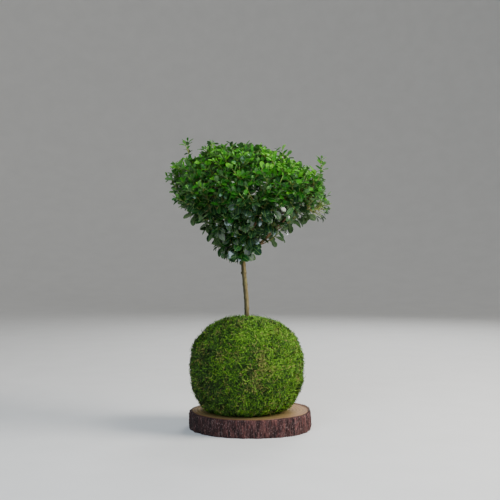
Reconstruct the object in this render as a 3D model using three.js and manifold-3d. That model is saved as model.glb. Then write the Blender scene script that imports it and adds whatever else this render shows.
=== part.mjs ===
// A kokedama: a small umbrella-shaped evergreen that grows out of a moss ball, resting on a slice of log.
// Millimetres, +Z up. The origin is the middle of the slice's underside, X runs to the right as seen from
// the front, and Y runs away from the front.
//
// The tree is grown by rule. Limbs leave a thin trunk, a branchlet leads from them to each place on the
// crown's skin, and each branchlet ends in a green leafy spray. Every random draw is seeded, so it always
// grows alike.
import * as THREE from 'three';
import { mergeVertices } from 'three/addons/utils/BufferGeometryUtils.js';
import Module from 'manifold-3d';

const wasm = await Module();
wasm.setup();

const UP = new THREE.Vector3(0, 0, 1);
const GOLDEN_TURN = Math.PI * (3 - Math.sqrt(5));
const GAP = 0.3; // between pieces that touch
const CLEARANCE = 0.5; // the least distance between a leaf or twig and the pieces beside it
const SLIVER = 0.01;

// The slice of log
const SLICE_HEIGHT = 20;
const WOOD_RADIUS = 62;
const BARK_THICKNESS = 3.9;
const SLICE_STEPS = 64;
const SLICE_LOBES = [[2, 1.1, 0.6], [3, 0.8, 2.1], [5, 0.4, 4.0]]; // [waves round, height, phase]
const BARK_PROFILE = [[0, 0.6], [6, 0], [12, 0.2], [17.6, 0.4], [19.2, 1.9]]; // [height, how far drawn in]
const BARK_RIM_DROP = 0.3; // how far the bark's inner edge lies under the sawn face

// The moss ball
const BALL_CENTRE = new THREE.Vector3(-4, -12, SLICE_HEIGHT + 49.5);
const MOSS_RADIUS = 60.8;
const MOSS_HALF_HEIGHT = 53;
const MOSS_ROUNDNESS = { above: 2.2, below: 2.75 };
const MOSS_THICKNESS = 9;
const MOSS_BASE_THICKNESS = 7; // under the soil
const MOSS_FLOOR = SLICE_HEIGHT + GAP;
const MOSS_FACETS = 8;
const CUSHION_HEIGHT = 1.2;
const TUFT_HEIGHT = 1.8;
const SOIL_FACETS = 2;

// The trunk
const TRUNK_X = -4;
const TRUNK_Y = -12;
const TRUNK_FOOT_Z = 55;
const TRUNK_RADIUS = 2.6;
const TRUNK_HOLE_HEIGHT = 200; // tall enough to pass out of the moss
const LEAN_FROM_Z = 128;
const FORK_Z = 190;
const LEADER_TOP_Z = 240;
const LEAN = -4; // how far the fork lies along X from the trunk's foot
const LEADER_TAPER = 0.55;

// The crown's outline, seen from the side, is a flat dome over a cone
const CROWN_CENTRE = new THREE.Vector3(-2, -11, 254);
const CROWN_RADIUS = 85;
const DOME = { height: 54, roundness: 2.6 };
const CONE = { height: 65, roundness: 1.15 };
const CROWN_TILT = -0.08; // rise of the dome for each millimetre along X

// Branches and leaves
const SPRAYS = 37;
const SPRAY_LENGTH = 25;
const SIDE_TWIG_LENGTH = 14;
const LEAF_LENGTH = { high: 11.5, low: 13 };
const LEAF_WIDTH_SHARE = 0.62;
const LEAF_THICKNESS = 1.1; // along its midrib
const LEAF_BEAD = 1.1; // half the room that a place on a leaf asks for

// Shoots that stand out of the dome: the tip of each, and the length of its green part
const SPRIGS = [
  { tip: new THREE.Vector3(-70, -20, 308), length: 30 },
  { tip: new THREE.Vector3(-43, -8, 310), length: 26 },
  { tip: new THREE.Vector3(78, -18, 286), length: 27 },
  { tip: new THREE.Vector3(20, 50, 301), length: 26 },
];

const finish = (color, roughness) => new THREE.MeshStandardMaterial({ color, roughness, metalness: 0 });
const MATERIALS = {
  wood: finish(0xb08a5a, 0.75),
  bark: finish(0x4a3632, 0.95),
  soil: finish(0x3a2a1c, 1),
  moss: finish(0x4f7a1c, 1),
  trunk: finish(0x6e6238, 0.8),
  leaf: finish(0x2f7a26, 0.35),
};

const group = new THREE.Group();

function add(name, solid, material) {
  const mesh = new THREE.Mesh(geometryOf(solid), material);
  mesh.name = name;
  group.add(mesh);
}

// Park and Miller's random numbers, from a seed
function seeded(seed) {
  let state = seed;
  return (low = 0, high = 1) => {
    state = (state * 16807) % 2147483647;
    return low + ((high - low) * state) / 2147483647;
  };
}


// Solids from surfaces, and back

function solidOf(geometry) {
  const bare = new THREE.BufferGeometry().setAttribute('position', geometry.getAttribute('position'));
  bare.setIndex(geometry.index);
  const merged = mergeVertices(bare, 1e-4);
  return new wasm.Manifold(
    new wasm.Mesh({
      numProp: 3,
      vertProperties: new Float32Array(merged.attributes.position.array),
      triVerts: new Uint32Array(merged.index.array),
    }),
  );
}

function geometryOf(solid) {
  const { vertProperties, triVerts } = solid.getMesh();
  const geometry = new THREE.BufferGeometry()
    .setAttribute('position', new THREE.BufferAttribute(vertProperties, 3))
    .setIndex(new THREE.BufferAttribute(triVerts, 1));
  geometry.computeVertexNormals();
  return geometry;
}

// Joins solids into one, without the slivers that a join can leave
const fuse = (solids) => solids.reduce((whole, solid) => whole.add(solid)).simplify(SLIVER);

function facetedSolid(corners, faces) {
  const positions = new THREE.Float32BufferAttribute(corners.flatMap((corner) => corner.toArray()), 3);
  return solidOf(new THREE.BufferGeometry().setAttribute('position', positions).setIndex(faces));
}

// A solid skinned over rings of points, all with the same number of points. It has a flat cap at each
// end, or its last ring meets its first
function ringSolid(rings, closedOnItself = false) {
  const around = rings[0].length;
  const faces = [];
  const spans = closedOnItself ? rings.length : rings.length - 1;
  for (let i = 0; i < spans; i++) {
    const here = i * around;
    const there = ((i + 1) % rings.length) * around;
    for (let j = 0; j < around; j++) {
      const next = (j + 1) % around;
      faces.push(here + j, here + next, there + next, here + j, there + next, there + j);
    }
  }
  if (!closedOnItself) {
    const last = (rings.length - 1) * around;
    for (let j = 1; j < around - 1; j++) faces.push(0, j + 1, j, last, last + j, last + j + 1);
  }
  return facetedSolid(rings.flat(), faces);
}

// A stick is a list of points with a radius at each, and the way that one of its sides faces
function stickSolid({ points, radii, side }, sides) {
  let across = side;
  const rings = points.map((point, i) => {
    const ahead = points[Math.min(i + 1, points.length - 1)];
    const behind = points[Math.max(i - 1, 0)];
    const along = ahead.clone().sub(behind).normalize();
    across = across.clone().addScaledVector(along, -across.dot(along)).normalize();
    const third = along.clone().cross(across);
    return Array.from({ length: sides }, (_, j) => {
      const turn = ((j + 0.5) / sides) * 2 * Math.PI;
      return point
        .clone()
        .addScaledVector(across, radii[i] * Math.cos(turn))
        .addScaledVector(third, radii[i] * Math.sin(turn));
    });
  });
  return ringSolid(rings);
}

// The slice of log: sawn wood with its bark still round it

function sliceRadius(angle) {
  const lobes = SLICE_LOBES.map(([waves, height, phase]) => height * Math.cos(waves * angle + phase));
  return lobes.reduce((radius, lobe) => radius + lobe, WOOD_RADIUS);
}

function sliceRing(z, radiusAt) {
  return Array.from({ length: SLICE_STEPS }, (_, j) => {
    const angle = (j / SLICE_STEPS) * 2 * Math.PI;
    return new THREE.Vector3(radiusAt(angle) * Math.cos(angle), radiusAt(angle) * Math.sin(angle), z);
  });
}

// Furrows that wander up the bark
function furrow(angle, z) {
  const wide = 0.5 * Math.cos(23 * angle + Math.sin(z / 5 + 3 * angle));
  const narrow = 0.35 * Math.cos(31 * angle + 1.7 + z / 6);
  return wide + narrow;
}

function addSlice() {
  const wood = ringSolid([sliceRing(0, sliceRadius), sliceRing(SLICE_HEIGHT, sliceRadius)]);
  add('slice_wood', wood, MATERIALS.wood);

  const inner = (angle) => sliceRadius(angle) + GAP;
  const outer = (z, inset) => (angle) => sliceRadius(angle) + BARK_THICKNESS - inset + furrow(angle, z);
  const rings = [
    sliceRing(0, inner),
    ...BARK_PROFILE.map(([z, inset]) => sliceRing(z, outer(z, inset))),
    sliceRing(SLICE_HEIGHT - BARK_RIM_DROP, inner),
  ];
  add('slice_bark', ringSolid(rings, true), MATERIALS.bark);
}

// How far a rounded shape of unit half width and half height reaches. The larger its roundness, the boxier
function reachOf(level, rise, roundness) {
  return (Math.abs(level) ** roundness + Math.abs(rise) ** roundness) ** (-1 / roundness);
}

// The moss ball: sheet moss wrapped round a ball of soil, both flattened where they rest

function ballSolid(inset, floor, facets, relief = () => 0) {
  const sphere = new THREE.IcosahedronGeometry(1, facets);
  const bare = new THREE.BufferGeometry().setAttribute('position', sphere.getAttribute('position'));
  const ball = mergeVertices(bare, 1e-4);
  const position = ball.getAttribute('position');
  const direction = new THREE.Vector3();
  for (let i = 0; i < position.count; i++) {
    direction.fromBufferAttribute(position, i).normalize();
    const roundness = direction.z > 0 ? MOSS_ROUNDNESS.above : MOSS_ROUNDNESS.below;
    const share = reachOf(Math.hypot(direction.x, direction.y), direction.z, roundness);
    const raised = relief(direction) - inset;
    const halfWidth = share * (MOSS_RADIUS + raised);
    const halfHeight = share * (MOSS_HALF_HEIGHT + raised);
    direction.multiply(new THREE.Vector3(halfWidth, halfWidth, halfHeight)).add(BALL_CENTRE);
    position.setXYZ(i, direction.x, direction.y, Math.max(floor, direction.z));
  }
  return solidOf(ball);
}

// Moss stands in low cushions, and in tufts, one at each corner of its surface
const drawTuft = seeded(11);

function mossRelief(direction) {
  const cushions = Math.sin(3 * direction.x + 1) * Math.cos(4 * direction.y + 2 * direction.z);
  return CUSHION_HEIGHT * cushions + drawTuft(-TUFT_HEIGHT, TUFT_HEIGHT);
}

function trunkHole() {
  const radius = TRUNK_RADIUS + GAP;
  const hole = new THREE.CylinderGeometry(radius, radius, TRUNK_HOLE_HEIGHT, 12);
  hole.rotateX(Math.PI / 2);
  hole.translate(TRUNK_X, TRUNK_Y, TRUNK_FOOT_Z - GAP + TRUNK_HOLE_HEIGHT / 2);
  return solidOf(hole);
}

function addBall() {
  const hollowFloor = MOSS_FLOOR + MOSS_BASE_THICKNESS;
  const hollow = ballSolid(MOSS_THICKNESS, hollowFloor, SOIL_FACETS);
  const moss = ballSolid(0, MOSS_FLOOR, MOSS_FACETS, mossRelief);
  add('moss_cover', moss.subtract(hollow).subtract(trunkHole()), MATERIALS.moss);

  const soil = ballSolid(MOSS_THICKNESS + GAP, hollowFloor + GAP, SOIL_FACETS);
  add('soil_ball', soil.subtract(trunkHole()), MATERIALS.soil);
}

// A place in the crown: a direction from its centre, and the share of the way to its skin
function crownPoint(azimuth, rise, share) {
  const { height, roundness } = rise > 0 ? DOME : CONE;
  const level = Math.sqrt(1 - rise * rise);
  const reach = share * reachOf(level / CROWN_RADIUS, rise / height, roundness);
  const x = reach * level * Math.cos(azimuth);
  const y = reach * level * Math.sin(azimuth);
  const z = reach * rise;
  return new THREE.Vector3(x, y, z + (CROWN_TILT * x * Math.max(0, z)) / DOME.height).add(CROWN_CENTRE);
}

// The trunk and its limbs

const draw = seeded(20267);
const ease = (share) => THREE.MathUtils.smoothstep(share, 0, 1);

// The trunk is straight in the moss, leans as it rises to the fork, and comes half way back above it
function trunkPoint(z) {
  const back = ease((z - FORK_Z) / (LEADER_TOP_Z - FORK_Z));
  const x = TRUNK_X + LEAN * ease((z - LEAN_FROM_Z) / (FORK_Z - LEAN_FROM_Z)) - 0.5 * LEAN * back;
  return new THREE.Vector3(x, TRUNK_Y + back, z);
}

function trunkStick() {
  const rise = [0, 0.25, 0.5, 0.75, 1].map((share) => LEAN_FROM_Z + share * (FORK_Z - LEAN_FROM_Z));
  const leader = [0.33, 0.67, 1].map((share) => FORK_Z + share * (LEADER_TOP_Z - FORK_Z));
  const points = [TRUNK_FOOT_Z, ...rise, ...leader].map(trunkPoint);
  const thinning = (z) => Math.max(0, (LEADER_TAPER * (z - FORK_Z)) / (LEADER_TOP_Z - FORK_Z));
  const radii = points.map(({ z }) => TRUNK_RADIUS * (1 - thinning(z)));
  return { points, radii, side: new THREE.Vector3(1, 0, 0) };
}

// A bow is a parabola from its start to its end that sags by a share of the distance between them
function bow(start, end, sag) {
  const middle = start.clone().lerp(end, 0.5).addScaledVector(UP, -sag * start.distanceTo(end));
  return { start, middle, end };
}

function onBow({ start, middle, end }, t) {
  return start.clone().lerp(middle, t).lerp(middle.clone().lerp(end, t), t);
}

const alongBow = (curve, from, to, spans) =>
  Array.from({ length: spans + 1 }, (_, i) => onBow(curve, from + ((to - from) * i) / spans));

// The share t of a bow's end that is a given length long
function endShare(curve, length) {
  const steps = 40;
  let left = length;
  for (let i = steps; i > 0; i--) {
    const step = onBow(curve, i / steps).distanceTo(onBow(curve, (i - 1) / steps));
    if (step > left) return (steps - i + left / step) / steps;
    left -= step;
  }
  return 1;
}

// Low limbs spread to the crown's edge, and high ones rise into the dome
const LIMBS = [
  { count: 6, fromZ: FORK_Z - 4, stepZ: 2, turn: -0.25, rise: [-0.22, -0.1], share: 0.8, sag: 0.04 },
  { count: 5, fromZ: FORK_Z + 10, stepZ: 8, turn: 0.6, rise: [0.25, 0.5], share: 0.6, sag: 0.12 },
];

const limbs = LIMBS.flatMap(({ count, fromZ, stepZ, turn, rise, share, sag }) =>
  Array.from({ length: count }, (_, k) => {
    const azimuth = (k * 2 * Math.PI) / count + turn + draw(-0.2, 0.2);
    return bow(trunkPoint(fromZ + stepZ * k), crownPoint(azimuth, draw(...rise), share), sag);
  }),
);

// What has been placed is kept as a row of beads, so that whatever comes later keeps clear of it
const beads = []; // { owner, point, radius }
const STICK_BEAD = 1;

function place(points, radius, owner) {
  for (const point of points) beads.push({ owner, point, radius });
}

function isClear(points, radius, owners = []) {
  return beads.every(
    (bead) =>
      owners.includes(bead.owner) ||
      points.every((point) => point.distanceTo(bead.point) > radius + bead.radius + CLEARANCE),
  );
}

// Where every spray ends, spread evenly over the crown's skin, and how long its green part is
function sprayTips() {
  const tips = Array.from({ length: SPRAYS }, (_, i) => {
    const rise = 0.96 - (1.8 * (i + 0.5)) / SPRAYS;
    const share = 1 - draw(6, 11) / CROWN_RADIUS;
    return { tip: crownPoint(i * GOLDEN_TURN + draw(-0.12, 0.12), rise, share), length: SPRAY_LENGTH };
  });
  return [...tips, ...SPRIGS];
}

// The places on the limbs that can feed a tip, best first: near it, but a branchlet's length off and
// below it
function feedingPoints(tip, shortest) {
  const cost = (point) => point.distanceTo(tip) + 1.3 * Math.max(0, point.z - tip.z + 8);
  return limbs
    .flatMap((limb) => alongBow(limb, 0.1, 1, 12))
    .filter((point) => point.distanceTo(tip) >= shortest)
    .sort((one, other) => cost(one) - cost(other));
}

// A level direction square to another, rolled a little round it
function sideOf(along) {
  return new THREE.Vector3(-along.y, along.x, 0.001).normalize().applyAxisAngle(along, draw(-0.5, 0.5));
}

// What a stick's leaves need to know: its tip, the direction of its last straight, and two square to that
function withTip(points, radii) {
  const tip = points.at(-1);
  const along = tip.clone().sub(points.at(-2)).normalize();
  const side = sideOf(along);
  return { points, radii, side, tip, along, third: along.clone().cross(side) };
}

// The branchlet and the green stem that lead to a tip are one bow, brown first and then green. It is bent
// up or down, or fed from elsewhere, until it crosses no other
function growWay({ tip, length }) {
  const preferred = tip.z > CROWN_CENTRE.z - 12 ? 0.16 : -0.1;
  for (const start of feedingPoints(tip, length + 4).slice(0, 8)) {
    for (const change of [0, 0.1, -0.1, 0.2, -0.2, 0.3, -0.3]) {
      const way = bow(start, tip, preferred + change);
      const greenFrom = 1 - endShare(way, length);
      const brownTo = 1 - endShare(way, length + GAP);
      const brown = alongBow(way, 0, brownTo, 20);
      const green = alongBow(way, greenFrom, 1, 20);
      if (isClear(brown, STICK_BEAD, ['wood']) && isClear(green, STICK_BEAD)) {
        const stem = withTip(alongBow(way, greenFrom, 1, 2), [0.95, 0.8, 0.7]);
        const branchlet = { points: alongBow(way, 0, brownTo, 2), radii: [0.55, 1, 0.9], side: stem.side };
        const spray = { branchlet, sticks: [stem], leaves: [] };
        place(brown, STICK_BEAD, 'wood');
        place(green, STICK_BEAD, spray);
        return spray;
      }
    }
  }
  throw new Error(`no clear way to the tip at ${tip.toArray()}`);
}

function growWood() {
  const trunk = trunkStick();
  for (let z = TRUNK_FOOT_Z; z < LEADER_TOP_Z; z += 1.5) place([trunkPoint(z)], TRUNK_RADIUS, 'wood');
  for (const limb of limbs) place(alongBow(limb, 0, 1, 60), 1.6, 'wood');
  const sprays = sprayTips().map(growWay);
  const limbStick = (limb) => ({ points: alongBow(limb, 0, 1, 2), radii: [1.9, 1.5, 1.1], side: UP });
  const solids = [
    stickSolid(trunk, 8),
    ...limbs.map((limb) => stickSolid(limbStick(limb), 4)),
    ...sprays.map(({ branchlet }) => stickSolid(branchlet, 3)),
  ];
  add('trunk_and_branches', fuse(solids), MATERIALS.trunk);
  return sprays;
}

// A side twig leaves one of the stem's two straights, to one side along the crown's skin
function sideTwig(stem, straight, side, steer) {
  const outward = stem.tip.clone().sub(CROWN_CENTRE).normalize();
  const from = stem.points[straight].clone().lerp(stem.points[straight + 1], 0.4);
  const along = stem.points[straight + 1].clone().sub(stem.points[straight]).normalize();
  const sideways = along.clone().cross(outward).normalize();
  const heading = along
    .clone()
    .multiplyScalar(0.72)
    .addScaledVector(sideways, side * (draw(0.75, 0.95) + steer))
    .addScaledVector(UP, draw(-0.05, 0.3) + steer)
    .normalize();
  const end = from.clone().addScaledVector(heading, SIDE_TWIG_LENGTH * draw(0.85, 1.15));
  return withTip([from, end], [0.45, 0.7]);
}

function growSideTwigs(spray) {
  for (const [straight, side] of [[0, 1], [1, -1]]) {
    for (const steer of [0, 0.25, -0.25]) {
      const twig = sideTwig(spray.sticks[0], straight, side, steer);
      const twigBeads = Array.from({ length: 11 }, (_, i) => twig.points[0].clone().lerp(twig.tip, i / 10));
      if (isClear(twigBeads, STICK_BEAD, [spray])) {
        spray.sticks.push(twig);
        place(twigBeads, STICK_BEAD, spray);
        break;
      }
    }
  }
}

// Leaves

// Where a leaf's root is, the way it points, the way its face looks, and the direction across it
function leafFrame({ tip, along, side, third }, { back, turn, spread, droop, length }) {
  const out = side.clone().multiplyScalar(Math.cos(turn)).addScaledVector(third, Math.sin(turn));
  const heading = along
    .clone()
    .multiplyScalar(Math.cos(spread))
    .addScaledVector(out, Math.sin(spread))
    .addScaledVector(UP, -droop)
    .normalize();
  const face = along.clone().multiplyScalar(0.7).addScaledVector(UP, 0.5);
  face.addScaledVector(heading, -face.dot(heading)).normalize();
  const root = tip.clone().addScaledVector(along, -back);
  return { root, heading, face, across: heading.clone().cross(face), length };
}

// A place on a leaf, from shares of its length and of its half width, and a height over its underside
function onLeaf({ root, heading, face, across, length }, u, v, lift = 0) {
  return root
    .clone()
    .addScaledVector(heading, u * length)
    .addScaledVector(across, (v * length * LEAF_WIDTH_SHARE) / 2)
    .addScaledVector(face, lift);
}

const LEAF_BEADS = [[0.3, 0], [0.95, 0], ...[0.5, 0.75].flatMap((u) => [-0.6, 0, 0.6].map((v) => [u, v]))];

// An egg-shaped blade with its blunt end outwards, thickest along the middle, with its root inside the twig
function leafSolid(leaf) {
  const rim = [[0, 0], [0.56, 1], [0.98, 0.5], [0.98, -0.5], [0.56, -1]].map(([u, v]) => onLeaf(leaf, u, v));
  const ridge = rim.length;
  const underside = [0, 4, 1, 4, 3, 1, 3, 2, 1];
  const upper = rim.flatMap((_, j) => [j, (j + 1) % rim.length, ridge]);
  return facetedSolid([...rim, onLeaf(leaf, 0.56, 0, LEAF_THICKNESS)], [...underside, ...upper]);
}

// Leaves stand in pairs, each pair turned a quarter from the last. A leaf that would touch another piece is
// turned round its twig, or left out
const LEAF_PAIRS = [
  { back: 1.6, turn: 0, spread: [0.7, 0.9] },
  { back: 6, turn: Math.PI / 2, spread: [0.95, 1.2] },
];

function growLeaves(spray) {
  const low = spray.sticks[0].tip.z < CROWN_CENTRE.z - 5;
  for (const stick of spray.sticks) {
    for (const { back, turn, spread } of LEAF_PAIRS) {
      for (const side of [0, Math.PI]) {
        const length = (low ? LEAF_LENGTH.low : LEAF_LENGTH.high) * draw(0.88, 1.12);
        const opening = draw(...spread);
        for (const nudge of [0, 0.35, -0.35, 0.7, -0.7]) {
          const angles = { turn: turn + side + nudge, spread: opening, droop: low ? 0.45 : 0.05 };
          const leaf = leafFrame(stick, { back, length, ...angles });
          const leafBeads = LEAF_BEADS.map(([u, v]) => onLeaf(leaf, u, v));
          if (isClear(leafBeads, LEAF_BEAD, [spray, stick])) {
            place(leafBeads, LEAF_BEAD, stick);
            spray.leaves.push(leaf);
            break;
          }
        }
      }
    }
  }
}

function addTree() {
  const sprays = growWood();
  sprays.forEach(growSideTwigs);
  sprays.forEach(growLeaves);
  sprays.forEach(({ sticks, leaves }, index) => {
    const solids = [...sticks.map((stick) => stickSolid(stick, 4)), ...leaves.map(leafSolid)];
    add(`spray_${String(index + 1).padStart(2, '0')}`, fuse(solids), MATERIALS.leaf);
  });
}

addSlice();
addBall();
addTree();

export default group;
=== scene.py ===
# %% [markdown]
# # A kokedama on a slice of log
#
# A kokedama is a small tree whose roots sit in a ball of soil, wrapped in living sheet moss. This one is a
# little evergreen trained as an umbrella, and it rests on a slice of log with its bark on. The solids of the
# object come in as a fixed frame. Each is then dressed with the fine shapes that a solid leaves out: curled
# leaves, moss fronds, fissured bark and sawn wood.

# %% The frame
import math

import bmesh
import bpy
import numpy as np
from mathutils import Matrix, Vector


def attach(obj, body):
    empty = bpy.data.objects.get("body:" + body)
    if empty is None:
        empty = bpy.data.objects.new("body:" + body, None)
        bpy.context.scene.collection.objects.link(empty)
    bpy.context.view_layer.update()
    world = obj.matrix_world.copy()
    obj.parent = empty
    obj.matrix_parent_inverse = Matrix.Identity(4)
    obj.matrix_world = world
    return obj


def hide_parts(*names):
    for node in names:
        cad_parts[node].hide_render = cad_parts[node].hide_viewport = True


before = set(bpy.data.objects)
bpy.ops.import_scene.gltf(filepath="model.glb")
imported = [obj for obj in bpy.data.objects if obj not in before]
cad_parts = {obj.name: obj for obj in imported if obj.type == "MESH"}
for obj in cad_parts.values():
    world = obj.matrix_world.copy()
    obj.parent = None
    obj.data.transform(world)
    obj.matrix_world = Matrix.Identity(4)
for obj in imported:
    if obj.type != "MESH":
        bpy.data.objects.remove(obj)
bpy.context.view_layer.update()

print("The frame has", len(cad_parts), "solids")

# %% [markdown]
# ## The camera
#
# A portrait lens far from the object keeps its proportions calm. The camera stands level with the tree's
# fork, so it looks a little down on the slice of log and a little up at the crown. It is made first, because
# every later choice is judged through it.

# %% The camera
CAMERA_PLACE = (-0.0005, -1.021, 0.1945)
LENS_MM = 67
SENSOR_MM = 36

camera = bpy.data.objects.new("camera", bpy.data.cameras.new("camera"))
camera.location = CAMERA_PLACE
camera.rotation_euler = (math.pi / 2, 0, 0)
camera.data.lens = LENS_MM
camera.data.sensor_width = SENSOR_MM
bpy.context.scene.collection.objects.link(camera)
bpy.context.scene.camera = camera
print("The camera is", round(-CAMERA_PLACE[1], 2), "m in front of the object")

# %% [markdown]
# ## Writing a finish as a sum
#
# A material in Blender is a graph of nodes. Long graphs are hard to read, so the sums are written in Python
# instead. A Wire holds the output of a node, and plus, minus and times on it add Math nodes. Every other node
# comes from one method, which takes its type, its settings and what goes into its sockets.

# %% Wires and finishes
MM_IN_A_METRE = 1000


class Wire:
    """The output of a node, to be used in sums as if it were a number."""

    def __init__(self, finish, socket):
        self.finish, self.socket = finish, socket

    def math(self, operation, *terms):
        return self.finish.math(operation, *terms)

    def __add__(self, other):
        return self.math("ADD", self, other)

    def __sub__(self, other):
        return self.math("SUBTRACT", self, other)

    def __rsub__(self, other):
        return self.math("SUBTRACT", other, self)

    def __mul__(self, other):
        return self.math("MULTIPLY", self, other)

    def __truediv__(self, other):
        return self.math("DIVIDE", self, other)

    def __abs__(self):
        return self.math("ABSOLUTE", self)

    __radd__, __rmul__ = __add__, __mul__


class Finish:
    """A material, whose place wire gives every point's place on the object in millimetres."""

    def __init__(self, name):
        self.material = bpy.data.materials.new(name)
        self.material.use_nodes = True
        self.tree = self.material.node_tree
        self.tree.nodes.clear()
        metres = self.node("ShaderNodeTexCoord", output="Object")
        scaled = {"Vector": metres, "Scale": MM_IN_A_METRE}
        self.place = self.node("ShaderNodeVectorMath", {"operation": "SCALE"}, scaled)

    def node(self, kind, settings=None, sockets=None, output=0):
        made = self.tree.nodes.new(kind)
        for name, value in (settings or {}).items():
            if name == "stops":
                self.set_stops(made.color_ramp, value)
            else:
                setattr(made, name, value)
        pairs = sockets.items() if isinstance(sockets, dict) else enumerate(sockets or ())
        for key, value in pairs:
            if isinstance(value, Wire):
                self.tree.links.new(value.socket, made.inputs[key])
            else:
                made.inputs[key].default_value = value
        return Wire(self, made.outputs[output])

    def math(self, operation, *terms):
        return self.node("ShaderNodeMath", {"operation": operation}, terms)

    @staticmethod
    def set_stops(ramp, stops):
        while len(ramp.elements) < len(stops):
            ramp.elements.new(0.5)
        for element, (position, colour) in zip(ramp.elements, stops):
            element.position = position
            element.color = (*colour, 1)

    def ramp(self, value, *stops):
        return self.node("ShaderNodeValToRGB", {"stops": stops}, {"Fac": value}, "Color")

    def mix(self, mask, low, high):
        """The colour low where mask is 0 and high where it is 1."""
        low, high = (c if isinstance(c, Wire) else (*c, 1) for c in (low, high))
        return self.node("ShaderNodeMix", {"data_type": "RGBA"}, {0: mask, 6: low, 7: high}, 2)

    def tinted(self, colour, amount):
        """A colour made lighter or darker, by a number that varies over the surface."""
        grey = self.node("ShaderNodeCombineXYZ", None, (amount, amount, amount))
        return self.node("ShaderNodeVectorMath", {"operation": "MULTIPLY"}, (colour, grey))

    def rise(self, value, low, high):
        """0 below low, 1 above high, and a soft step between them."""
        settings = {"interpolation_type": "SMOOTHSTEP"}
        return self.node("ShaderNodeMapRange", settings, (value, low, high, 0, 1))

    def noise(self, size, detail=3, roughness=0.5, place=None):
        """Cloudy noise from 0 to 1, with lumps about size millimetres across."""
        sockets = {"Vector": place or self.place, "Scale": 1 / size, "Detail": detail, "Roughness": roughness}
        return self.node("ShaderNodeTexNoise", None, sockets, "Fac")

    def distance(self, offset):
        """How long a vector is, such as the distance of every point from the middle."""
        return self.node("ShaderNodeVectorMath", {"operation": "LENGTH"}, (offset,), "Value")

    def stretched(self, x, y, z):
        """The place with its axes scaled, so that a noise made from it runs along one of them."""
        return self.node("ShaderNodeVectorMath", {"operation": "MULTIPLY"}, (self.place, (x, y, z)))

    def parts(self, vector):
        """The three numbers of a vector."""
        made = self.node("ShaderNodeSeparateXYZ", None, (vector,))
        return [Wire(self, socket) for socket in made.socket.node.outputs]

    def painted(self, name):
        """The three numbers that a mesh carries at each point under that name."""
        return self.parts(self.node("ShaderNodeAttribute", {"attribute_name": name}, None, "Vector"))

    def surface(self, colour, roughness, height=None, depth=0.0002, **constants):
        """The material's surface. A height from 0 to 1 raises it by up to depth metres."""
        sockets = {"Base Color": colour, "Roughness": roughness}
        if height is not None:
            sockets["Normal"] = self.node("ShaderNodeBump", None, {"Height": height, "Distance": depth})
        sockets.update(constants)
        shader = self.node("ShaderNodeBsdfPrincipled", None, sockets)
        out = self.tree.nodes.new("ShaderNodeOutputMaterial")
        self.tree.links.new(shader.socket, out.inputs["Surface"])
        return self.material


print("A finish reads every point's place in millimetres,", MM_IN_A_METRE, "to the metre")

# %% [markdown]
# ## From numbers to pieces
#
# Thousands of leaves and fronds would be slow to model one by one. Numpy works out all their points at once,
# in millimetres like the solids, and one function turns them into a Blender mesh in metres. It also writes
# what a point has to tell its material, such as its place on its leaf, into the mesh under a name.

# %% Making a piece
MM = 1 / MM_IN_A_METRE
PIECES = []


def make_piece(name, shape, materials, replaced=(), smooth=True):
    """shape has points (n, 3) and a list of arrays of 3 or 4 cornered faces, and may have paint and a map."""
    mesh = bpy.data.meshes.new(name)
    points = shape["points"]
    corners = np.concatenate([faces.ravel() for faces in shape["faces"]])
    sizes = np.concatenate([np.full(len(faces), faces.shape[1]) for faces in shape["faces"]])
    mesh.vertices.add(len(points))
    mesh.vertices.foreach_set("co", (points * MM).astype(np.float32).ravel())
    mesh.loops.add(len(corners))
    mesh.loops.foreach_set("vertex_index", corners.astype(np.int32))
    mesh.polygons.add(len(sizes))
    mesh.polygons.foreach_set("loop_start", (np.cumsum(sizes) - sizes).astype(np.int32))
    if "finish_of_face" in shape:
        mesh.polygons.foreach_set("material_index", shape["finish_of_face"].astype(np.int32))
    mesh.update(calc_edges=True)
    for label, values in shape.get("paint", {}).items():
        layer = mesh.attributes.new(label, "FLOAT_VECTOR", "POINT")
        layer.data.foreach_set("vector", values.astype(np.float32).ravel())
    if "map" in shape:
        flat_map = shape["map"].astype(np.float32).ravel()
        mesh.uv_layers.new(name="OFBake").data.foreach_set("uv", flat_map)
    if smooth:
        mesh.shade_smooth()
    else:
        mesh.shade_flat()
    if "rim" in shape:
        mark_rims_sharp(mesh, shape["rim"])
    for material in materials:
        mesh.materials.append(material)
    piece = bpy.data.objects.new(name, mesh)
    bpy.context.scene.collection.objects.link(piece)
    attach(piece, "root")
    if replaced:
        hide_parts(*replaced)
    PIECES.append((name, int((sizes - 2).sum())))


def mark_rims_sharp(mesh, rim):
    """An edge between two points of a leaf's rim is sharp, so each side of the leaf shades on its own."""
    ends = np.empty(len(mesh.edges) * 2, np.int32)
    mesh.edges.foreach_get("vertices", ends)
    sharp = rim[ends.reshape(-1, 2)].all(axis=1)
    mesh.attributes.new("sharp_edge", "BOOLEAN", "EDGE").data.foreach_set("value", sharp)


def joined(shapes):
    """Several shapes as one. All of them carry the same kinds of paint and map, or none does."""
    offsets = np.cumsum([0] + [len(shape["points"]) for shape in shapes])
    whole = {"points": np.concatenate([shape["points"] for shape in shapes])}
    moved = zip(shapes, offsets)
    whole["faces"] = [faces + offset for shape, offset in moved for faces in shape["faces"]]
    for key in ("map", "rim", "finish_of_face"):
        if key in shapes[0]:
            whole[key] = np.concatenate([shape[key] for shape in shapes])
    if "paint" in shapes[0]:
        names = shapes[0]["paint"]
        whole["paint"] = {n: np.concatenate([shape["paint"][n] for shape in shapes]) for n in names}
    return whole


print("One millimetre is", MM, "of Blender's metres")

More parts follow.
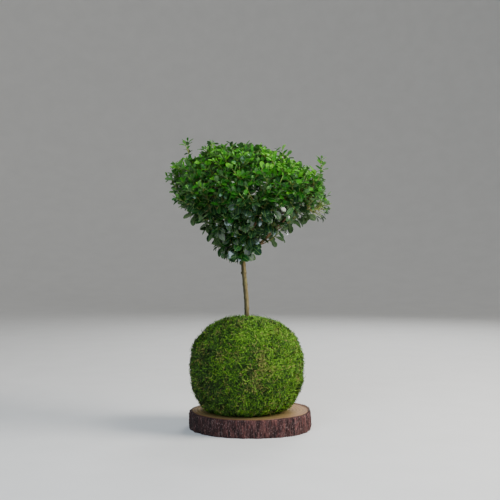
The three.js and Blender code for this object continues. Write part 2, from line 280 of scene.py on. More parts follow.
# %% [markdown]
# ## Soft bumps
#
# Nothing that grew is quite even. A few sine waves that cross in random directions add up to soft bumps,
# cheap enough for a hundred thousand points. The seed fixes the directions, so the bumps are the same on
# every run.

# %% Ripples
TURN = 2 * math.pi


def ripple(points, wavelength, seed, waves=9):
    """Soft bumps, mostly between -1 and 1, about half a wavelength wide."""
    chance = np.random.default_rng(seed)
    ways = chance.normal(size=(waves, 3))
    ways *= TURN / (wavelength * np.linalg.norm(ways, axis=1, keepdims=True))
    return np.sin(points @ ways.T + chance.uniform(0, TURN, waves)).sum(axis=-1) / math.sqrt(waves)


def unit(vectors):
    return vectors / np.linalg.norm(vectors, axis=-1, keepdims=True)


def together(*parts):
    """Numbers or arrays side by side, such as x, y and z as points."""
    return np.stack(np.broadcast_arrays(*parts), -1)


def circle(steps):
    """Angles all round, evenly spaced."""
    return np.linspace(0, TURN, steps, endpoint=False)


def on_circle(radius, angle, z):
    return together(radius * np.cos(angle), radius * np.sin(angle), z)


print("Ripples at three places:", ripple(np.eye(3), 1, 0).round(2))

# %% [markdown]
# ## The slice of log
#
# The slice was sawn across a thin trunk, so its face shows growth rings, and its edge still has the bark on.
# Its outline is a circle with a few low lobes. The same lobes as in the solids are used here, on a much finer
# ring, so the wood and the bark still meet with a hair's breadth between them.

# %% The slice's outline
GAP = 0.3
SLICE_HEIGHT = 20
WOOD_RADIUS = 62
BARK_THICKNESS = 3.9
SLICE_LOBES = ((2, 1.1, 0.6), (3, 0.8, 2.1), (5, 0.4, 4.0))  # how many round it, height, phase


def slice_radius(angle):
    lobes = (height * np.cos(waves * angle + phase) for waves, height, phase in SLICE_LOBES)
    return WOOD_RADIUS + sum(lobes)


def ring_faces(rings, around, closed=False):
    """Quads that join each ring of points to the next, and the last to the first if closed."""
    i, j = np.meshgrid(np.arange(rings if closed else rings - 1), np.arange(around), indexing="ij")
    nxt, up = (j + 1) % around, (i + 1) % rings
    quads = np.stack([i * around + j, i * around + nxt, up * around + nxt, up * around + j], axis=-1)
    return quads.reshape(-1, 4)


print("The slice is", SLICE_HEIGHT, "mm thick")

# %% [markdown]
# The sawn face is modelled as rings of points out from the middle, with the saw's faint waves on top and a
# soft edge. The rings run close together near the edge, so that the light rolls over it.

# %% The sawn wood's form
WOOD_STEPS = 288
WOOD_RINGS = (0.02, 0.1, 0.2, 0.3, 0.4, 0.5, 0.6, 0.7, 0.78, 0.84, 0.89, 0.93, 0.96, 0.98, 0.99)
WOOD_EDGE = ((0.996, SLICE_HEIGHT - 0.08), (1, SLICE_HEIGHT - 0.4), (1, 0.5), (0.996, 0.05))
WOOD_BASE_RINGS = (0.98, 0.7, 0.3, 0.02)
SAW_WAVE = 0.1


def wood_shape():
    angle = circle(WOOD_STEPS)
    edge = slice_radius(angle)
    profile = [(share, SLICE_HEIGHT) for share in WOOD_RINGS]
    profile += [*WOOD_EDGE, *((share, 0) for share in WOOD_BASE_RINGS)]
    rings = []
    for share, z in profile:
        ring = on_circle(share * edge, angle, float(z))
        if z == SLICE_HEIGHT:
            ring[:, 2] -= SAW_WAVE + SAW_WAVE * ripple(ring * (1, 3, 0), 24, 5)
        rings.append(ring)
    middles = [[0, 0, SLICE_HEIGHT - SAW_WAVE], [0, 0, 0]]
    points = np.concatenate([*rings, middles])
    around = np.arange(WOOD_STEPS)
    following = (around + 1) % WOOD_STEPS
    last = (len(rings) - 1) * WOOD_STEPS
    top = np.stack([np.full_like(around, len(points) - 2), around, following], -1)
    base = np.stack([np.full_like(around, len(points) - 1), last + following, last + around], -1)
    sides = ring_faces(len(rings), WOOD_STEPS)[:, ::-1]
    return {"points": points, "faces": [sides, top, base]}


sawn_wood = wood_shape()
print("The sawn wood has", len(sawn_wood["points"]), "points")

# %% [markdown]
# The rings of growth are too fine to model, so they go into the finish: the distance from the pith, bent by
# noise, drives a repeating stripe that fades slowly on one side and ends sharply on the other, as a year of
# growth does. The wood is pale, and near the ball it is painted dark and greenish, as the ball's shade and
# the green light that the moss throws on it.

# %% The sawn wood's finish
FOOT_X, FOOT_Y = -4, -12  # where the moss ball rests
YEAR_WIDTH = 3.7


def wood_finish():
    f = Finish("sawn_wood")
    x, y, _ = f.parts(f.place)
    wander = f.noise(26, 2) * 7 + f.noise(5, 2) * 0.9
    from_pith = f.distance(f.stretched(1, 1.06, 0))
    years = f.math("FRACT", (from_pith + wander) / YEAR_WIDTH)
    late = f.rise(years, 0.35, 0.9) * (1 - f.rise(years, 0.93, 1.0))
    edge = f.rise(from_pith, WOOD_RADIUS - 6, WOOD_RADIUS)
    grain = f.noise(1.2, 4, 0.7, f.stretched(1, 1, 0.1))
    blotch = f.noise(19, 3)
    pale = f.ramp(blotch, (0.3, (0.36, 0.205, 0.050)), (0.7, (0.48, 0.300, 0.085)))
    wood = f.mix(late * 0.85, pale, (0.150, 0.062, 0.015))
    wood = f.mix(edge * 0.6, wood, (0.115, 0.050, 0.018))
    wood = f.mix(f.rise(x, 15, 60) * 0.4, wood, (0.40, 0.215, 0.135))
    from_ball = f.math("SQRT", (x - FOOT_X) * (x - FOOT_X) + (y - FOOT_Y) * (y - FOOT_Y))
    # Painted shade: near the moss ball the wood is darkened and greened, for the ball's shadow and green
    # light.
    ball_shade = 1 - f.rise(from_ball + blotch * 6, 46, 62)
    wood = f.mix(ball_shade * 0.6, wood, (0.085, 0.078, 0.018))
    wood = f.tinted(wood, 0.6 + grain * 0.75)
    saw = f.noise(1.1, 2, 0.6, f.stretched(0.15, 1, 1))
    return f.surface(wood, 0.55 + grain * 0.3, late * 0.5 + saw * 0.5, 0.00025)


make_piece("sawn_wood", sawn_wood, [wood_finish()], ["slice_wood"])
print("The sawn face is", round(2 * WOOD_RADIUS), "mm across")

# %% [markdown]
# ## The bark
#
# The bark is a thin dark rind with fissures that run up it and scaly ridges between them. Its form is a
# closed band, skinned over a profile that turns in at the top, where the saw left it ragged. Fissures and
# ridges are real bumps in the band, because they show in its outline.

# %% The band of bark
BARK_STEPS = 1000
BARK_LEVELS = (
    0, 0.5, 1.3, 2.3, 3.4, 4.5, 5.6, 6.7, 7.8, 8.9, 10, 11.1, 12.2, 13.3, 14.4, 15.4, 16.4, 17.3, 18.1, 18.8,
)
INSET_LEVELS = (0, 0.5, 6, 12, 17.6, 18.8)
INSETS = (0.9, 0.5, 0, 0.2, 0.4, 1.3)
SAWN_LIP = ((0.8, 19.3, 0.3, 1.7), (0.5, 19.6, 0.25, 1.2), (0, 19.55, 0.1, 0))  # share out, z, ragged, flare
FLARE_START, FLARE_PEAK, FLARE_WIDTH = -0.9, 1.15, 0.75  # the flare's angles, the last two from its start


def furrow(angle, z):
    """The same furrows as in the solid."""
    wide = 0.5 * np.cos(23 * angle + np.sin(z / 5 + 3 * angle))
    return wide + 0.35 * np.cos(31 * angle + 1.7 + z / 6)


def bark_relief(angle, z):
    """How far the bark stands out, in millimetres: furrows, fissures between plates, and scales."""
    place = on_circle(WOOD_RADIUS, angle, z * 0.22)
    scales = on_circle(WOOD_RADIUS, angle, z * 0.6)
    wide = np.exp(-((ripple(place, 6.5, 21) / 0.17) ** 2))
    narrow = np.exp(-((ripple(place, 3.4, 26) / 0.2) ** 2))
    fissures = 0.8 * wide + 0.4 * narrow
    ridges = 0.7 * furrow(angle, z)
    return ridges - fissures + 0.2 * ripple(scales, 3.1, 22) + 0.16 * ripple(scales, 1.5, 23)


def bark_shape():
    angle = circle(BARK_STEPS)
    wood = slice_radius(angle)
    inner = wood + GAP
    profile = [(inner, 0.2)]
    heights = [np.zeros(BARK_STEPS)]
    for z in BARK_LEVELS:
        inset = np.interp(z, INSET_LEVELS, INSETS)
        relief = bark_relief(angle, z)
        heights.append(np.clip(0.75 + 0.55 * relief, 0, 1))
        profile.append((wood + BARK_THICKNESS - inset + relief, float(z)))
    flare = np.exp(-(((angle - FLARE_START) % TURN - FLARE_PEAK) / FLARE_WIDTH) ** 2)
    ragged = ripple(on_circle(40, angle, 0), 9, 24)
    crumbs = ripple(on_circle(60, angle, 0), 2.2, 25)
    for share, z, lift, lip in SAWN_LIP:
        outward = inner + share * (BARK_THICKNESS - 1.9) + 0.5 * lip * flare
        profile.append((outward, z + lift * (0.6 * ragged + 0.4 * crumbs) + lip * flare))
        heights.append(np.full(BARK_STEPS, 0.5))
    points = np.concatenate([on_circle(radius, angle, z) for radius, z in profile])
    look = together(np.concatenate(heights), 0, 0)
    faces = ring_faces(len(profile), BARK_STEPS, closed=True)
    return {"points": points, "faces": [faces], "paint": {"bark_look": look}}


bark_band = bark_shape()
print("The bark has", len(bark_band["points"]), "points")

# %% [markdown]
# The bark's colour follows its form. The mesh carries how far each point stands out, so fissures are dark and
# ridges are light: the fissures' own darker colour, with painted shade in them. Over that come streaks along
# the grain, pale crusts of lichen, small dark pits, a left side darkened as painted shade, and the paler
# inner bark where the saw cut through it.

# %% The bark's finish
MATTE = {"Specular IOR Level": 0.3}  # bark, moss and the trunk hardly shine


def bark_finish():
    f = Finish("bark")
    x, _, z = f.parts(f.place)
    from_middle = f.distance(f.stretched(1, 1, 0))
    streak = f.noise(2.2, 4, 0.65, f.stretched(1, 1, 0.2))
    fine = f.noise(0.9, 4, 0.7, f.stretched(1, 1, 0.35))
    cloud = f.noise(14, 3)
    height = f.painted("bark_look")[0]
    rind = f.ramp(
        streak,
        (0.34, (0.009, 0.003, 0.004)),
        (0.5, (0.047, 0.015, 0.014)),
        (0.66, (0.118, 0.044, 0.038)),
    )
    rind = f.mix(f.rise(cloud, 0.5, 0.72) * 0.5, rind, (0.062, 0.027, 0.029))
    # Painted shade: the fissures are darkened by how deep they lie, on top of their own darker colour.
    rind = f.tinted(rind, 0.25 + height * 1.1)
    # Painted shade: the bark is darker to the left, the side away from the key light.
    rind = f.tinted(rind, 0.36 + f.rise(x, -64, 0) * 0.64)
    crust = f.rise(f.noise(1.6, 5, 0.75, f.stretched(1, 1, 0.5)), 0.54, 0.66)
    crust = crust * f.rise(f.noise(9, 2), 0.45, 0.6)
    rind = f.mix(crust * 0.5, rind, (0.23, 0.14, 0.135))
    specks = f.rise(f.noise(1.2, 3, 0.65, f.stretched(1, 1, 0.55)), 0.56, 0.68)
    rind = f.mix(specks * 0.6, rind, (0.27, 0.175, 0.165))
    pits = f.rise(f.noise(1.5, 3, 0.65, f.stretched(1, 1, 0.3)), 0.54, 0.66)
    rind = f.tinted(rind, 1 - pits * 0.6)
    sawn = f.rise(z, 18.7, 19.2) * (1 - f.rise(from_middle, 65.2, 66))
    phloem = f.mix(f.rise(x, 10, 58), (0.13, 0.058, 0.026), (0.50, 0.32, 0.26))
    inner = f.mix(f.rise(from_middle, 62.9, 64.6), phloem, (0.035, 0.014, 0.012))
    rind = f.mix(sawn, rind, inner)
    rind = f.tinted(rind, 0.45 + fine * 1.1)
    return f.surface(rind, 0.75 + fine * 0.25, streak * 0.5 + fine * 0.5, 0.0005, **MATTE)


make_piece("bark_band", bark_band, [bark_finish()], ["slice_bark"])
print("The bark is", BARK_THICKNESS, "mm thick")

# %% [markdown]
# ## The moss ball
#
# Sheet moss grows as a mat of tiny branched shoots. Wrapped round the soil, it makes low cushions with dark
# hollows between them, and it is bright where it grows and straw-coloured where it has dried. Particles would
# look right but can't be exported, so the moss is a dark lumpy skin with tens of thousands of modelled fronds
# on it, each with its own small leaves. The ball's form comes first, as a function of the direction from its
# centre, because skin and fronds both stand on it.

# %% The ball's form
BALL_CENTRE = np.array([FOOT_X, FOOT_Y, 69.5])
MOSS_RADIUS = 60.8
MOSS_HALF_HEIGHT = 53
MOSS_ROUNDNESS = (2.75, 2.2)  # below and above its middle
MOSS_FLOOR = SLICE_HEIGHT + GAP


def reach_of(level, rise, roundness):
    """How far a rounded shape of unit half width and half height reaches."""
    return (np.abs(level) ** roundness + np.abs(rise) ** roundness) ** (-1 / roundness)


def cushions(direction):
    """The moss's low cushions, in millimetres, its shoulders, its skirt on the wood and one dark hollow."""
    x, y, z = direction[..., 0], direction[..., 1], direction[..., 2]
    broad = 0.9 * np.sin(3 * x + 1) * np.cos(4 * y + 2 * z)
    shoulders = 0.9 * np.exp(-(((z - 0.4) / 0.28) ** 2))
    skirt = 2 * np.clip((-z - 0.35) / 0.5, 0, 1) ** 1.5
    hollow = 2.4 * np.exp(-(((x - 0.23) / 0.05) ** 2) - ((z + 0.12) / 0.13) ** 2) * (y < 0)
    surface = direction * MOSS_RADIUS
    lumps = 0.5 * ripple(surface, 24, 31) + 0.65 * ripple(surface, 9, 32)
    return broad + shoulders + skirt - hollow + lumps


def ball_place(direction, raised):
    """The place on the ball in a direction from its centre, raised over its plain form."""
    roundness = np.where(direction[..., 2] > 0, MOSS_ROUNDNESS[1], MOSS_ROUNDNESS[0])
    level = np.hypot(direction[..., 0], direction[..., 1])
    share = reach_of(level, direction[..., 2], roundness)
    size = together(MOSS_RADIUS + raised, MOSS_RADIUS + raised, MOSS_HALF_HEIGHT + raised)
    place = BALL_CENTRE + direction * size * share[..., None]
    place[..., 2] = np.maximum(place[..., 2], MOSS_FLOOR)
    return place


print("The moss ball's middle is", BALL_CENTRE[2], "mm up")

# %% [markdown]
# The moss isn't one green. It is painted lighter towards the light and darker away from it, it is older in
# patches, it has painted shade in one hollow, and it is straw-coloured in the places where the sheets of moss
# were joined and dried out. Each of these is a number at every point, from the same ripples as the form.

# %% The moss's tone and dryness
LIGHT_SIDE = np.array([0.55, -0.1, 0.35])
SHADY_PLACE = np.array([0.12, -0.96, 0.14])
SHADE_SIZE = 0.09
MIDDLE_TONE = 0.42


def moss_tone(place):
    """0 where the moss is dark, 1 where bright. Painted light makes it lighter at the top and right."""
    direction = unit(place - BALL_CENTRE)
    patches = 0.10 * ripple(place, 34, 33) + 0.13 * ripple(place, 12, 34) + 0.10 * ripple(place, 5, 37)
    from_shade = np.linalg.norm((direction - unit(SHADY_PLACE)) * (1, 1, 0.4), axis=-1)
    shade = 0.25 * np.exp(-((from_shade / SHADE_SIZE) ** 2))
    # Painted light and shade: lighter towards LIGHT_SIDE, darker away from it and at the shady place.
    return np.clip(MIDDLE_TONE + 0.38 * (direction @ LIGHT_SIDE) + patches - shade, 0, 1)


DRY_PLACES = (
    (0.27, -0.92, 0.31, 0.12),
    (0.31, -0.94, 0.17, 0.11),
    (0.36, -0.93, 0.04, 0.12),
    (0.16, -0.98, -0.03, 0.09),
    (0.11, -0.97, -0.22, 0.09),
    (-0.77, -0.50, 0.35, 0.09),
    (-0.47, -0.85, 0.22, 0.07),
    (-0.12, -0.50, 0.86, 0.09),
    (-0.6, 0.7, -0.1, 0.18),
    (0.75, 0.6, 0.2, 0.15),
)


def moss_dryness(place):
    """High in the dried places, each given as a direction and a size, and near 0 away from them."""
    direction = unit(place - BALL_CENTRE)
    dryness = 0.03 + 0.17 * np.clip(ripple(place, 17, 35), 0, None)
    for x, y, z, size in DRY_PLACES:
        distance = np.linalg.norm(direction - unit(np.array([x, y, z])), axis=-1)
        dryness = np.maximum(dryness, np.exp(-((distance / size) ** 2)) * 0.9)
    return dryness


print("The moss has", len(DRY_PLACES), "dried places")

# %% [markdown]
# The skin under the fronds is a subdivided ball, pushed out to the ball's form a little less far than the
# frond tips reach. It is dark, so that it reads as the shade between fronds.

# %% The moss skin
SKIN_INSET = 2.2
SKIN_FINENESS = 5


def skin_shape():
    ball = bmesh.new()
    bmesh.ops.create_icosphere(ball, subdivisions=SKIN_FINENESS, radius=1)
    direction = unit(np.array([v.co[:] for v in ball.verts]))
    faces = np.array([[v.index for v in face.verts] for face in ball.faces])
    ball.free()
    lumps = cushions(direction) + 0.35 * ripple(direction * MOSS_RADIUS, 3.5, 36)
    points = ball_place(direction, lumps - SKIN_INSET)
    look = together(moss_tone(points), moss_dryness(points), 0.0)
    return {"points": points, "faces": [faces], "paint": {"moss_look": look}}


def moss_finish(name, root_shade):
    """Fronds and skin get the same colours. The paint gives the tone, the dryness and how near to a tip."""
    f = Finish(name)
    tone, dryness, tip = f.painted("moss_look")
    mottle = f.noise(2.2, 3)
    tone = tone + (mottle - 0.5) * 0.4
    green = f.ramp(
        tone,
        (0.05, (0.014, 0.032, 0.003)),
        (0.35, (0.044, 0.118, 0.008)),
        (0.62, (0.094, 0.242, 0.010)),
        (0.95, (0.200, 0.430, 0.018)),
    )
    straw = f.ramp(mottle, (0.35, (0.13, 0.105, 0.02)), (0.65, (0.47, 0.43, 0.11)))
    colour = f.mix(dryness, green, straw)
    # Painted shade: root_shade darkens the roots of the fronds and all of the skin, as shade between fronds.
    colour = f.tinted(colour, root_shade + tip * (1 - root_shade))
    return f.surface(colour, 0.62 + mottle * 0.3, f.noise(0.7, 3), 0.0003, **MATTE)


make_piece("moss_skin", skin_shape(), [moss_finish("moss_skin", 0.2)], ["moss_cover"])
print("The skin lies", SKIN_INSET, "mm under the moss's own surface")

# %% [markdown]
# A frond is a thin curved stem with a row of tiny pointed leaves down each side. One frond is worked out as a
# pattern of triangles, one for each leaf and one for the tip, plain enough to repeat by the thousand. The
# fronds' roots are spread evenly over the ball by drawing random directions.

# %% A frond's pattern and roots
LEAFLET_PAIRS = 4
TRUNK_HOLE = 3.2
HOLE_LOWEST = 90


def frond_pattern():
    """Corners as (share of length, share of half width, share of lift), three a leaflet."""
    corners = []
    for i in range(LEAFLET_PAIRS):
        start = 0.02 + 0.7 * i / (LEAFLET_PAIRS - 1)
        width = 1 - 0.4 * i / (LEAFLET_PAIRS - 1)
        for side in (-1, 1):
            corners += [(start, 0.3 * side, 0), (start + 0.14, -0.2 * side, 0)]
            corners += [(start + 0.38, width * side, 0.3)]
    corners += [(0.7, -0.3, 0), (0.7, 0.3, 0), (1.1, 0, 0)]
    return np.array(corners)


def frond_roots(chance, count):
    """Directions spread over the ball, but not where it rests nor where the trunk comes out."""
    direction = unit(chance.normal(size=(count * 2, 3)))
    x, y, z = ball_place(direction, np.zeros(count * 2)).T
    from_trunk = np.hypot(x - FOOT_X, y - FOOT_Y)
    shown = (z > MOSS_FLOOR + 0.6) & ((from_trunk > TRUNK_HOLE) | (z < HOLE_LOWEST))
    return direction[shown][:count]


print("A frond has", len(frond_pattern()) // 3, "triangles")

# %% [markdown]
# The pattern is bent, turned and scaled for all the fronds at once. Fronds lean over the skin in swirls, as
# combed hair does, and a share of them stand up or lie astray. Every frond gets a small square of the map of
# its own.

# %% The fronds
FRONDS_A_PIECE = 12000
FROND_PIECES = 3
STRAYS_A_PIECE = 900
FROND_LENGTH = (3.6, 7.4)
FROND_HALF_WIDTH = (0.5, 0.85)
FROND_PITCH = (0.25, 1.25)
STRAY_PITCH = (0.5, 0.8)
STRAY_LENGTH, STRAY_WIDTH = 1.9, 0.62  # as shares of the other fronds'
SWIRL_SIZE = 30
SWIRL_SEEDS = (41, 42, 43)
FIRST_FROND_SEED = 50
HIGHEST_TIP = SKIN_INSET + 1.5


def cell_map(count, share, side):
    """A map that gives every frond a small square of its own."""
    rows = math.ceil(math.sqrt(count))
    cell = np.arange(count)
    corner = np.stack([cell % rows, cell // rows], -1)[:, None]
    inside = np.stack([0.5 + 0.35 * side, 0.1 + 0.75 * share], -1)
    return ((corner + inside) / rows).reshape(-1, 2)


def frond_shape(seed, count, strays):
    """The last of the fronds are strays: long thin strands that lie loosely over the others."""
    chance = np.random.default_rng(seed)
    direction = frond_roots(chance, count)
    count = len(direction)
    lumps = cushions(direction)
    root = ball_place(direction, lumps - SKIN_INSET)
    outward = unit(root - BALL_CENTRE)
    swirl = np.stack([ripple(root, SWIRL_SIZE, one) for one in SWIRL_SEEDS], -1)
    along = swirl + chance.normal(scale=2.2, size=(count, 3))
    along = unit(along - (along * outward).sum(-1, keepdims=True) * outward)
    across = np.cross(outward, along)
    length = chance.uniform(*FROND_LENGTH, count)
    half_width = chance.uniform(*FROND_HALF_WIDTH, count)
    pitch = chance.uniform(*FROND_PITCH, count)
    curl = chance.uniform(0.3, 1.1, count)
    spin = chance.uniform(-0.9, 0.9, count)
    length[-strays:] *= STRAY_LENGTH
    half_width[-strays:] *= STRAY_WIDTH
    pitch[-strays:] = chance.uniform(*STRAY_PITCH, strays)
    share, side, lift = frond_pattern().T
    length, half_width, pitch, curl, spin = (n[:, None] for n in (length, half_width, pitch, curl, spin))
    distance = length * share
    ahead = distance * np.cos(pitch)
    height = distance * np.sin(pitch) - curl * length * share**2 * 0.45
    height = np.minimum(height, HIGHEST_TIP) + half_width * (lift + side * spin * 0.5)
    sideways = half_width * side + 0.14 * distance * np.sin(3 * share + spin * 3)
    points = root[:, None]
    for amount, way in ((ahead, along), (sideways, across), (height, outward)):
        points = points + amount[..., None] * way[:, None]
    points[..., 2] = np.maximum(points[..., 2], MOSS_FLOOR)
    tone = np.clip(moss_tone(root) + chance.normal(scale=0.25, size=count), 0, 1)
    dry = moss_dryness(root)
    tone[-strays:] += 0.15
    dry[-strays:] += 0.12
    dryness = np.clip((dry > chance.uniform(0, 1, count)) * chance.uniform(0.3, 1, count), 0, 1)
    look = together(tone[:, None], dryness[:, None], np.clip(share, 0, 1))
    corners = np.arange(count * len(share))
    return {
        "points": points.reshape(-1, 3),
        "faces": [corners.reshape(-1, 3)],
        "paint": {"moss_look": look.reshape(-1, 3)},
        "map": cell_map(count, share, side),
    }


frond_finish = moss_finish("moss_fronds", 0.12)
for number in range(FROND_PIECES):
    shape = frond_shape(FIRST_FROND_SEED + number, FRONDS_A_PIECE, STRAYS_A_PIECE)
    make_piece(f"moss_fronds_{number + 1}", shape, [frond_finish], smooth=False)
print("The moss has", FRONDS_A_PIECE * FROND_PIECES, "fronds")

# %% [markdown]
# ## The soil
#
# The ball of soil is hidden by the moss, so its solid stays. It still gets the finish of damp peat, crumbly
# and dark, for anyone who takes the moss off.

# %% The soil
def soil_finish():
    f = Finish("damp_peat")
    crumbs = f.noise(2.5, 5, 0.7)
    peat = f.ramp(crumbs, (0.3, (0.012, 0.007, 0.004)), (0.7, (0.07, 0.042, 0.024)))
    return f.surface(peat, 0.75 + crumbs * 0.2, crumbs, 0.002)


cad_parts["soil_ball"].material_slots[0].material = soil_finish()

# %% [markdown]
# ## How the tree grows
#
# The solids of the tree are grown by rule, and the rule is repeated here with the same numbers and the same
# random draws, so every stem and leaf comes out where its solid is. Limbs leave the trunk, a branchlet leads
# from them to each place on the crown's skin, and each branchlet ends in a green stem with side twigs and
# leaves. What has been placed is kept as a row of beads, and whatever comes later keeps clear of them.

# %% Draws, bows and the crown's outline
GOLDEN_TURN = math.pi * (3 - math.sqrt(5))
DRAW_FACTOR, DRAW_RANGE = 16807, 2147483647
UP = np.array([0.0, 0.0, 1.0])
TRUNK_X, TRUNK_Y = FOOT_X, FOOT_Y
TRUNK_FOOT_Z = 55
TRUNK_RADIUS = 2.6
LEAN_FROM_Z = 128
FORK_Z = 190
LEADER_TOP_Z = 240
LEAN = -4
LEADER_TAPER = 0.55
CROWN_CENTRE = np.array([-2.0, -11.0, 254.0])
CROWN_RADIUS = 85
DOME = (54, 2.6)  # height over the crown's centre, and roundness
LEAFY_DOME = (54, 1.85)  # the same for the leaves' outline
CONE = (65, 1.15)  # depth under the centre, and roundness
CROWN_TILT = -0.08
LEAFY_TILT = -0.15


def seeded(seed):
    """The same plain row of draws that the solids are grown with."""
    state = [seed]

    def draw(low=0, high=1):
        state[0] = (state[0] * DRAW_FACTOR) % DRAW_RANGE
        return low + ((high - low) * state[0]) / DRAW_RANGE

    return draw


draw = seeded(20267)


def size_of(vector):
    return math.sqrt(vector @ vector)


def straight(vector):
    return vector / size_of(vector)


def ease(share):
    share = min(1, max(0, share))
    return share * share * (3 - 2 * share)


def crown_point(azimuth, rise, share, dome=DOME):
    """A place in the crown: a direction from its centre, and the share of the way to its skin."""
    height, roundness = dome if rise > 0 else CONE
    level = math.sqrt(1 - rise * rise)
    reach = share * reach_of(level / CROWN_RADIUS, rise / height, roundness)
    x, y, z = reach * level * math.cos(azimuth), reach * level * math.sin(azimuth), reach * rise
    tilt = CROWN_TILT if dome is DOME else LEAFY_TILT
    return np.array([x, y, z + (tilt * x * max(0, z)) / DOME[0]]) + CROWN_CENTRE


def crown_depth(point):
    """Under 1 inside the crown's outline, and over 1 outside it."""
    x, y, z = point - CROWN_CENTRE
    z -= LEAFY_TILT * x * max(0, z) / DOME[0]
    height, roundness = LEAFY_DOME if z > 0 else CONE
    return (math.hypot(x, y) / CROWN_RADIUS) ** roundness + (abs(z) / height) ** roundness


def trunk_point(z):
    back = ease((z - FORK_Z) / (LEADER_TOP_Z - FORK_Z))
    x = TRUNK_X + LEAN * ease((z - LEAN_FROM_Z) / (FORK_Z - LEAN_FROM_Z)) - 0.5 * LEAN * back
    return np.array([x, TRUNK_Y + back, z])


def bow(start, end, sag):
    """A parabola that sags by a share of the distance between its ends."""
    return start, start + (end - start) * 0.5 - UP * sag * size_of(end - start), end


def on_bow(curve, t):
    start, middle, end = curve
    low, high = start + (middle - start) * t, middle + (end - middle) * t
    return low + (high - low) * t


def along_bow(curve, first, last, spans):
    return np.array([on_bow(curve, first + (last - first) * i / spans) for i in range(spans + 1)])


def end_share(curve, length):
    """The share of a bow's end that is a given length long."""
    steps, left = 40, length
    for i in range(steps, 0, -1):
        step = size_of(on_bow(curve, i / steps) - on_bow(curve, (i - 1) / steps))
        if step > left:
            return (steps - i + left / step) / steps
        left -= step
    return 1


print("The trunk forks", FORK_Z, "mm up")

# %% [markdown]
# The beads are kept in growing arrays, so that one sum compares a new stem or leaf with everything placed
# before it. A piece may touch its own owners, such as the twig that bears it.

# %% Beads
CLEARANCE = 0.5
WOOD = 0  # the owner of the trunk's, the limbs' and the branchlets' beads
NEARBY = 40


class Beads:
    """All that has been placed, as small balls, each with a radius and an owner."""

    def __init__(self):
        self.points, self.radii, self.owners = np.empty((0, 3)), np.empty(0), np.empty(0, int)

    def place(self, points, radius, owner):
        self.points = np.concatenate([self.points, points])
        self.radii = np.concatenate([self.radii, np.full(len(points), radius)])
        self.owners = np.concatenate([self.owners, np.full(len(points), owner)])

    def clear(self, points, radius, owners=(), clearance=CLEARANCE):
        others = ~np.isin(self.owners, owners)
        near = others & (np.abs(self.points - points.mean(0)).max(1) < NEARBY)
        apart = np.linalg.norm(self.points[near][:, None] - points[None], axis=-1)
        return bool((apart > (radius + self.radii[near] + clearance)[:, None]).all())


beads = Beads()
names_used = iter(range(1, 10**6))
print("Whatever is placed keeps", CLEARANCE, "mm clear of what was placed before")

# %% [markdown]
# Low limbs spread to the crown's edge, and high ones rise into the dome. The tips of the sprays lie all over
# the crown's skin, each a golden turn on from the last, which spaces them evenly without rows. A few sprigs
# stand out of the dome, as on any tree that is due for a trim.

# %% Limbs and tips
LIMBS = (
    (6, FORK_Z - 4, 2, -0.25, (-0.22, -0.1), 0.8, 0.04),
    (5, FORK_Z + 10, 8, 0.6, (0.25, 0.5), 0.6, 0.12),
)  # count, height of the first, step between them, turn, rise, share of the way to the skin, sag
SPRAYS = 37
SPRAY_LENGTH = 25
SPRIGS = (((-70, -20, 308), 30), ((-43, -8, 310), 26), ((78, -18, 286), 27), ((20, 50, 301), 26))


def grow_limbs():
    limbs = []
    for count, first, step, turn, rise, share, sag in LIMBS:
        for k in range(count):
            azimuth = k * TURN / count + turn + draw(-0.2, 0.2)
            end = crown_point(azimuth, draw(*rise), share)
            limbs.append(bow(trunk_point(first + step * k), end, sag))
    return limbs


def spray_tips():
    tips = []
    for i in range(SPRAYS):
        rise = 0.96 - (1.8 * (i + 0.5)) / SPRAYS
        share = 1 - draw(6, 11) / CROWN_RADIUS
        azimuth = i * GOLDEN_TURN + draw(-0.12, 0.12)
        tips.append((crown_point(azimuth, rise, share), SPRAY_LENGTH))
    return tips + [(np.array(tip, float), length) for tip, length in SPRIGS]


limbs = grow_limbs()
spray_aims = spray_tips()
print("The tree has", len(limbs), "limbs and", len(spray_aims), "sprays,", len(SPRIGS), "of them long sprigs")

# %% [markdown]
# Each spray grows from the point on a limb that costs least: near by, and not far above the tip. Its way
# there is a bow, bent a little more or less until it is clear of all the others. The last stretch of the way
# is the green stem, and the rest is brown wood.

# %% The ways to the tips
BENDS = (0, 0.1, -0.1, 0.2, -0.2, 0.3, -0.3)
STARTS_TRIED = 8
DROP_COST = 1.3
HIGH_SAG, LOW_SAG = 0.16, -0.1
HIGH_FROM = CROWN_CENTRE[2] - 12
LIMB_BEAD, STEM_BEAD = 1.6, 1
STEM_RADII = (0.95, 0.8, 0.7)
PLAIN_REACH = 1.12  # how far leaves may stand out of the crown's outline, which is at 1
SPRIG_REACH = 9


def side_of(along):
    """A level direction square to another, rolled a little round it."""
    side = straight(np.array([-along[1], along[0], 0.001]))
    roll = draw(-0.5, 0.5)
    across = np.cross(along, side)
    leaning = along * (along @ side) * (1 - math.cos(roll))
    return side * math.cos(roll) + across * math.sin(roll) + leaning


def stick_of(points, radii, side):
    """A stem or twig, with its tip and the three directions there that its leaves are set out by."""
    along = straight(points[-1] - points[-2])
    stick = {"points": points, "radii": radii, "tip": points[-1]}
    return {**stick, "along": along, "side": side, "third": np.cross(along, side)}


def with_tip(points, radii):
    side = side_of(straight(points[-1] - points[-2]))
    return {**stick_of(points, radii, side), "name": next(names_used)}


